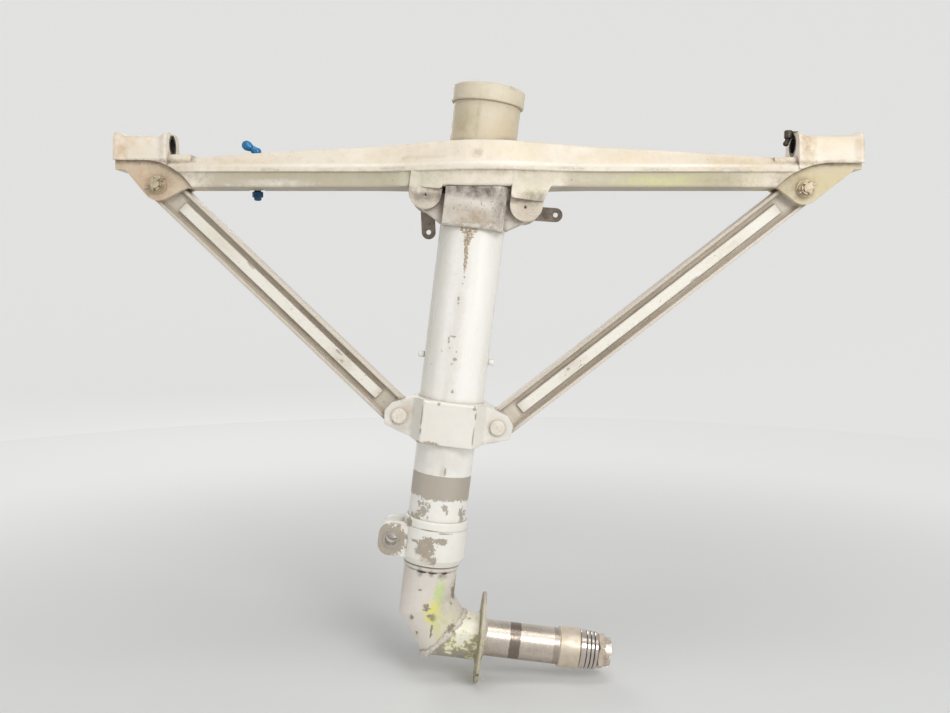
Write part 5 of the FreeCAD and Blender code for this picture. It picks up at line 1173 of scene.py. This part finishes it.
# %% Paper
NEAR_MM, FAR_MM = 560.0, 1500.0
FIBRE_MM = 400
FAR_GLOW_HEX = "e6e6e5"
PAPERS = (("pale_grey_paper", "898989", 0.79), ("pale_grey_bowl_paper", "b0b0b0", 0.69))
papers = []
for name, far_tone, far_glow in PAPERS:
    paper, tree, shader, place = blank_finish(name)
    fibre = add(tree, "TexNoise", {"Vector": place, "Scale": 1 / FIBRE_MM, "Detail": 4.0})
    near_tone = add(tree, "Mix", {0: fibre, 6: linear("ededec"), 7: linear("e5e6e5")}, 2, data_type="RGBA")
    ray = add(tree, "LightPath").node.outputs
    seen = add(tree, "Math", (ray["Is Camera Ray"], ray["Is Glossy Ray"]), operation="MAXIMUM")
    distance = add(tree, "VectorMath", (place,), "Value", operation="LENGTH")
    far = add(tree, "MapRange", (distance, NEAR_MM, FAR_MM), interpolation_type="SMOOTHSTEP")
    far = add(tree, "Math", (seen, far), operation="MULTIPLY")
    tone = add(tree, "Mix", {0: far, 6: near_tone, 7: linear(far_tone)}, 2, data_type="RGBA")
    tree.links.new(tone, shader.inputs["Base Color"])
    glow = add(tree, "Math", (far, far_glow), operation="MULTIPLY")
    tree.links.new(glow, shader.inputs["Emission Strength"])
    shader.inputs["Emission Color"].default_value = linear(FAR_GLOW_HEX)
    shader.inputs["Roughness"].default_value = 0.9
    shader.inputs["Specular IOR Level"].default_value = 0.0
    papers.append(paper)
print("the papers change tone from", NEAR_MM, "to", FAR_MM, "mm away")

# %% Floor and bowl
FLOOR_RADIUS, BOWL_RADIUS, BOWL_HEIGHT = 2.0, 3.4, 3.6
SHEET_SIDES, CURVE_STEPS = 96, 16
PIN_RADIUS = 0.001  # a pinhole, because faces round a ring of no radius would have no area
CLEARANCE = 0.0005
floor_z = bare_box[0][2] - CLEARANCE


def turned_sheet(name, profile, material):
    """A sheet turned round the upright axis from (radius, height) points."""
    turns = [2 * math.pi * j / SHEET_SIDES for j in range(SHEET_SIDES)]
    verts = [(r * math.cos(turn), r * math.sin(turn), z) for r, z in profile for turn in turns]
    faces = []
    for i in range(len(profile) - 1):
        inner, outer = i * SHEET_SIDES, (i + 1) * SHEET_SIDES
        for j in range(SHEET_SIDES):
            after = (j + 1) % SHEET_SIDES
            faces.append((inner + j, inner + after, outer + after, outer + j))
    mesh = bpy.data.meshes.new(name)
    mesh.from_pydata(verts, [], faces)
    mesh.shade_smooth()
    mesh.materials.append(material)
    sheet = bpy.data.objects.new(name, mesh)
    bpy.context.scene.collection.objects.link(sheet)
    sheet.parent = frame["bodies"]["piston_head"]
    sheet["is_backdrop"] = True
    return sheet


foot_radius = BOWL_RADIUS - FLOOR_RADIUS
curve = [math.radians(90 * i / CURVE_STEPS) for i in range(CURVE_STEPS + 1)]
floor_profile = [(radius, floor_z) for radius in (PIN_RADIUS, FLOOR_RADIUS / 2, FLOOR_RADIUS)]
bowl_profile = [(FLOOR_RADIUS + foot_radius * math.sin(a), floor_z + foot_radius * (1 - math.cos(a)))
                for a in curve]
turned_sheet("paper_floor", floor_profile, papers[0])
bowl = turned_sheet("paper_bowl", bowl_profile + [(BOWL_RADIUS, floor_z + BOWL_HEIGHT)], papers[1])
bowl.visible_diffuse = False
bowl.visible_shadow = False
print("floor at", round(floor_z, 4), "m")

# %% [markdown]
# ## Light
# The key lamp is big and soft, and stands above and in front, to the right.  A ceiling lamp, a weaker
# one on each side and one behind fill the shadows, so that the back can be seen too.  They are kept
# low enough that the white enamel hardly clips.  The world adds a little light from all round, and
# shows the eye and the mirrors a paler air than it lights with.

# %% Lamps
LAMPS = (  # name, place from the middle of the strut and width in metres, watts
    ("ceiling_lamp", (0.1, -0.5, 1.6), 0.9, 6),
    ("key_lamp", (0.7, -1.6, 1.0), 0.8, 14.5),
    ("back_fill", (-0.7, 1.7, 0.9), 1.0, 6.5),
    ("left_fill", (-1.5, -1.2, 0.2), 1.2, 3),
    ("right_fill", (1.4, -1.3, 0.1), 1.0, 4),
)
middle = Vector([(bare_box[0][i] + bare_box[1][i]) / 2 for i in range(3)])
for name, offset, width, watts in LAMPS:
    lamp_data = bpy.data.lights.new(name, "AREA")
    lamp_data.shape = "DISK"
    lamp_data.size = width
    lamp_data.energy = watts
    lamp = bpy.data.objects.new(name, lamp_data)
    lamp.location = middle + Vector(offset)
    lamp.rotation_euler = (middle - lamp.location).to_track_quat("-Z", "Y").to_euler()
    bpy.context.scene.collection.objects.link(lamp)
print("lamps", len(bpy.data.lights), "of", sum(lamp[3] for lamp in LAMPS), "W together")

# %% World
AIR_LIT, AIR_SEEN = 0.38, 0.62
world = bpy.data.worlds.new("studio_air")
world.use_nodes = True
air = world.node_tree
air.nodes.clear()
ray = add(air, "LightPath").node.outputs
seen = add(air, "Math", (ray["Is Glossy Ray"], ray["Is Transmission Ray"]), operation="MAXIMUM")
seen = add(air, "Math", (ray["Is Camera Ray"], seen), operation="MAXIMUM")
strength = add(air, "MapRange", (seen, 0.0, 1.0, AIR_LIT, AIR_SEEN))
glow = add(air, "Background", {"Color": (1, 1, 1, 1), "Strength": strength})
add(air, "OutputWorld", {"Surface": glow})
bpy.context.scene.world = world
bpy.context.scene.view_settings.view_transform = "Standard"
print("air lights at", AIR_LIT, "and shows at", AIR_SEEN)

# %% [markdown]
# ## Camera
# The eye stands about a metre in front of the leg and a little below the truss, and looks slightly
# down, so that the foot and the hinge line are both in view.

# %% Camera
EYE = (-0.00787, -0.9776, -0.1418)
LOOKS_DOWN = 4.5
LENS_MM, SENSOR_MM = 35.24, 36.0
camera_data = bpy.data.cameras.new("camera")
camera_data.sensor_width = SENSOR_MM
camera_data.lens = LENS_MM
camera_data.clip_start = 0.01
camera = bpy.data.objects.new("camera", camera_data)
camera.location = EYE
camera.rotation_euler = (math.radians(90 - LOOKS_DOWN), 0, 0)
bpy.context.scene.collection.objects.link(camera)
bpy.context.scene.camera = camera
print("camera", [round(v, 3) for v in camera.location])

# %% [markdown]
# ## Both boxes
# What is added here lies inside the bare strut's box.  Both boxes are kept, so that it can be checked.

# %% Sizes and finish
dressed_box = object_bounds()
sizes = {"bare": [list(map(float, corner)) for corner in bare_box],
         "dressed": [list(map(float, corner)) for corner in dressed_box]}
print("dressed box", sizes["dressed"])
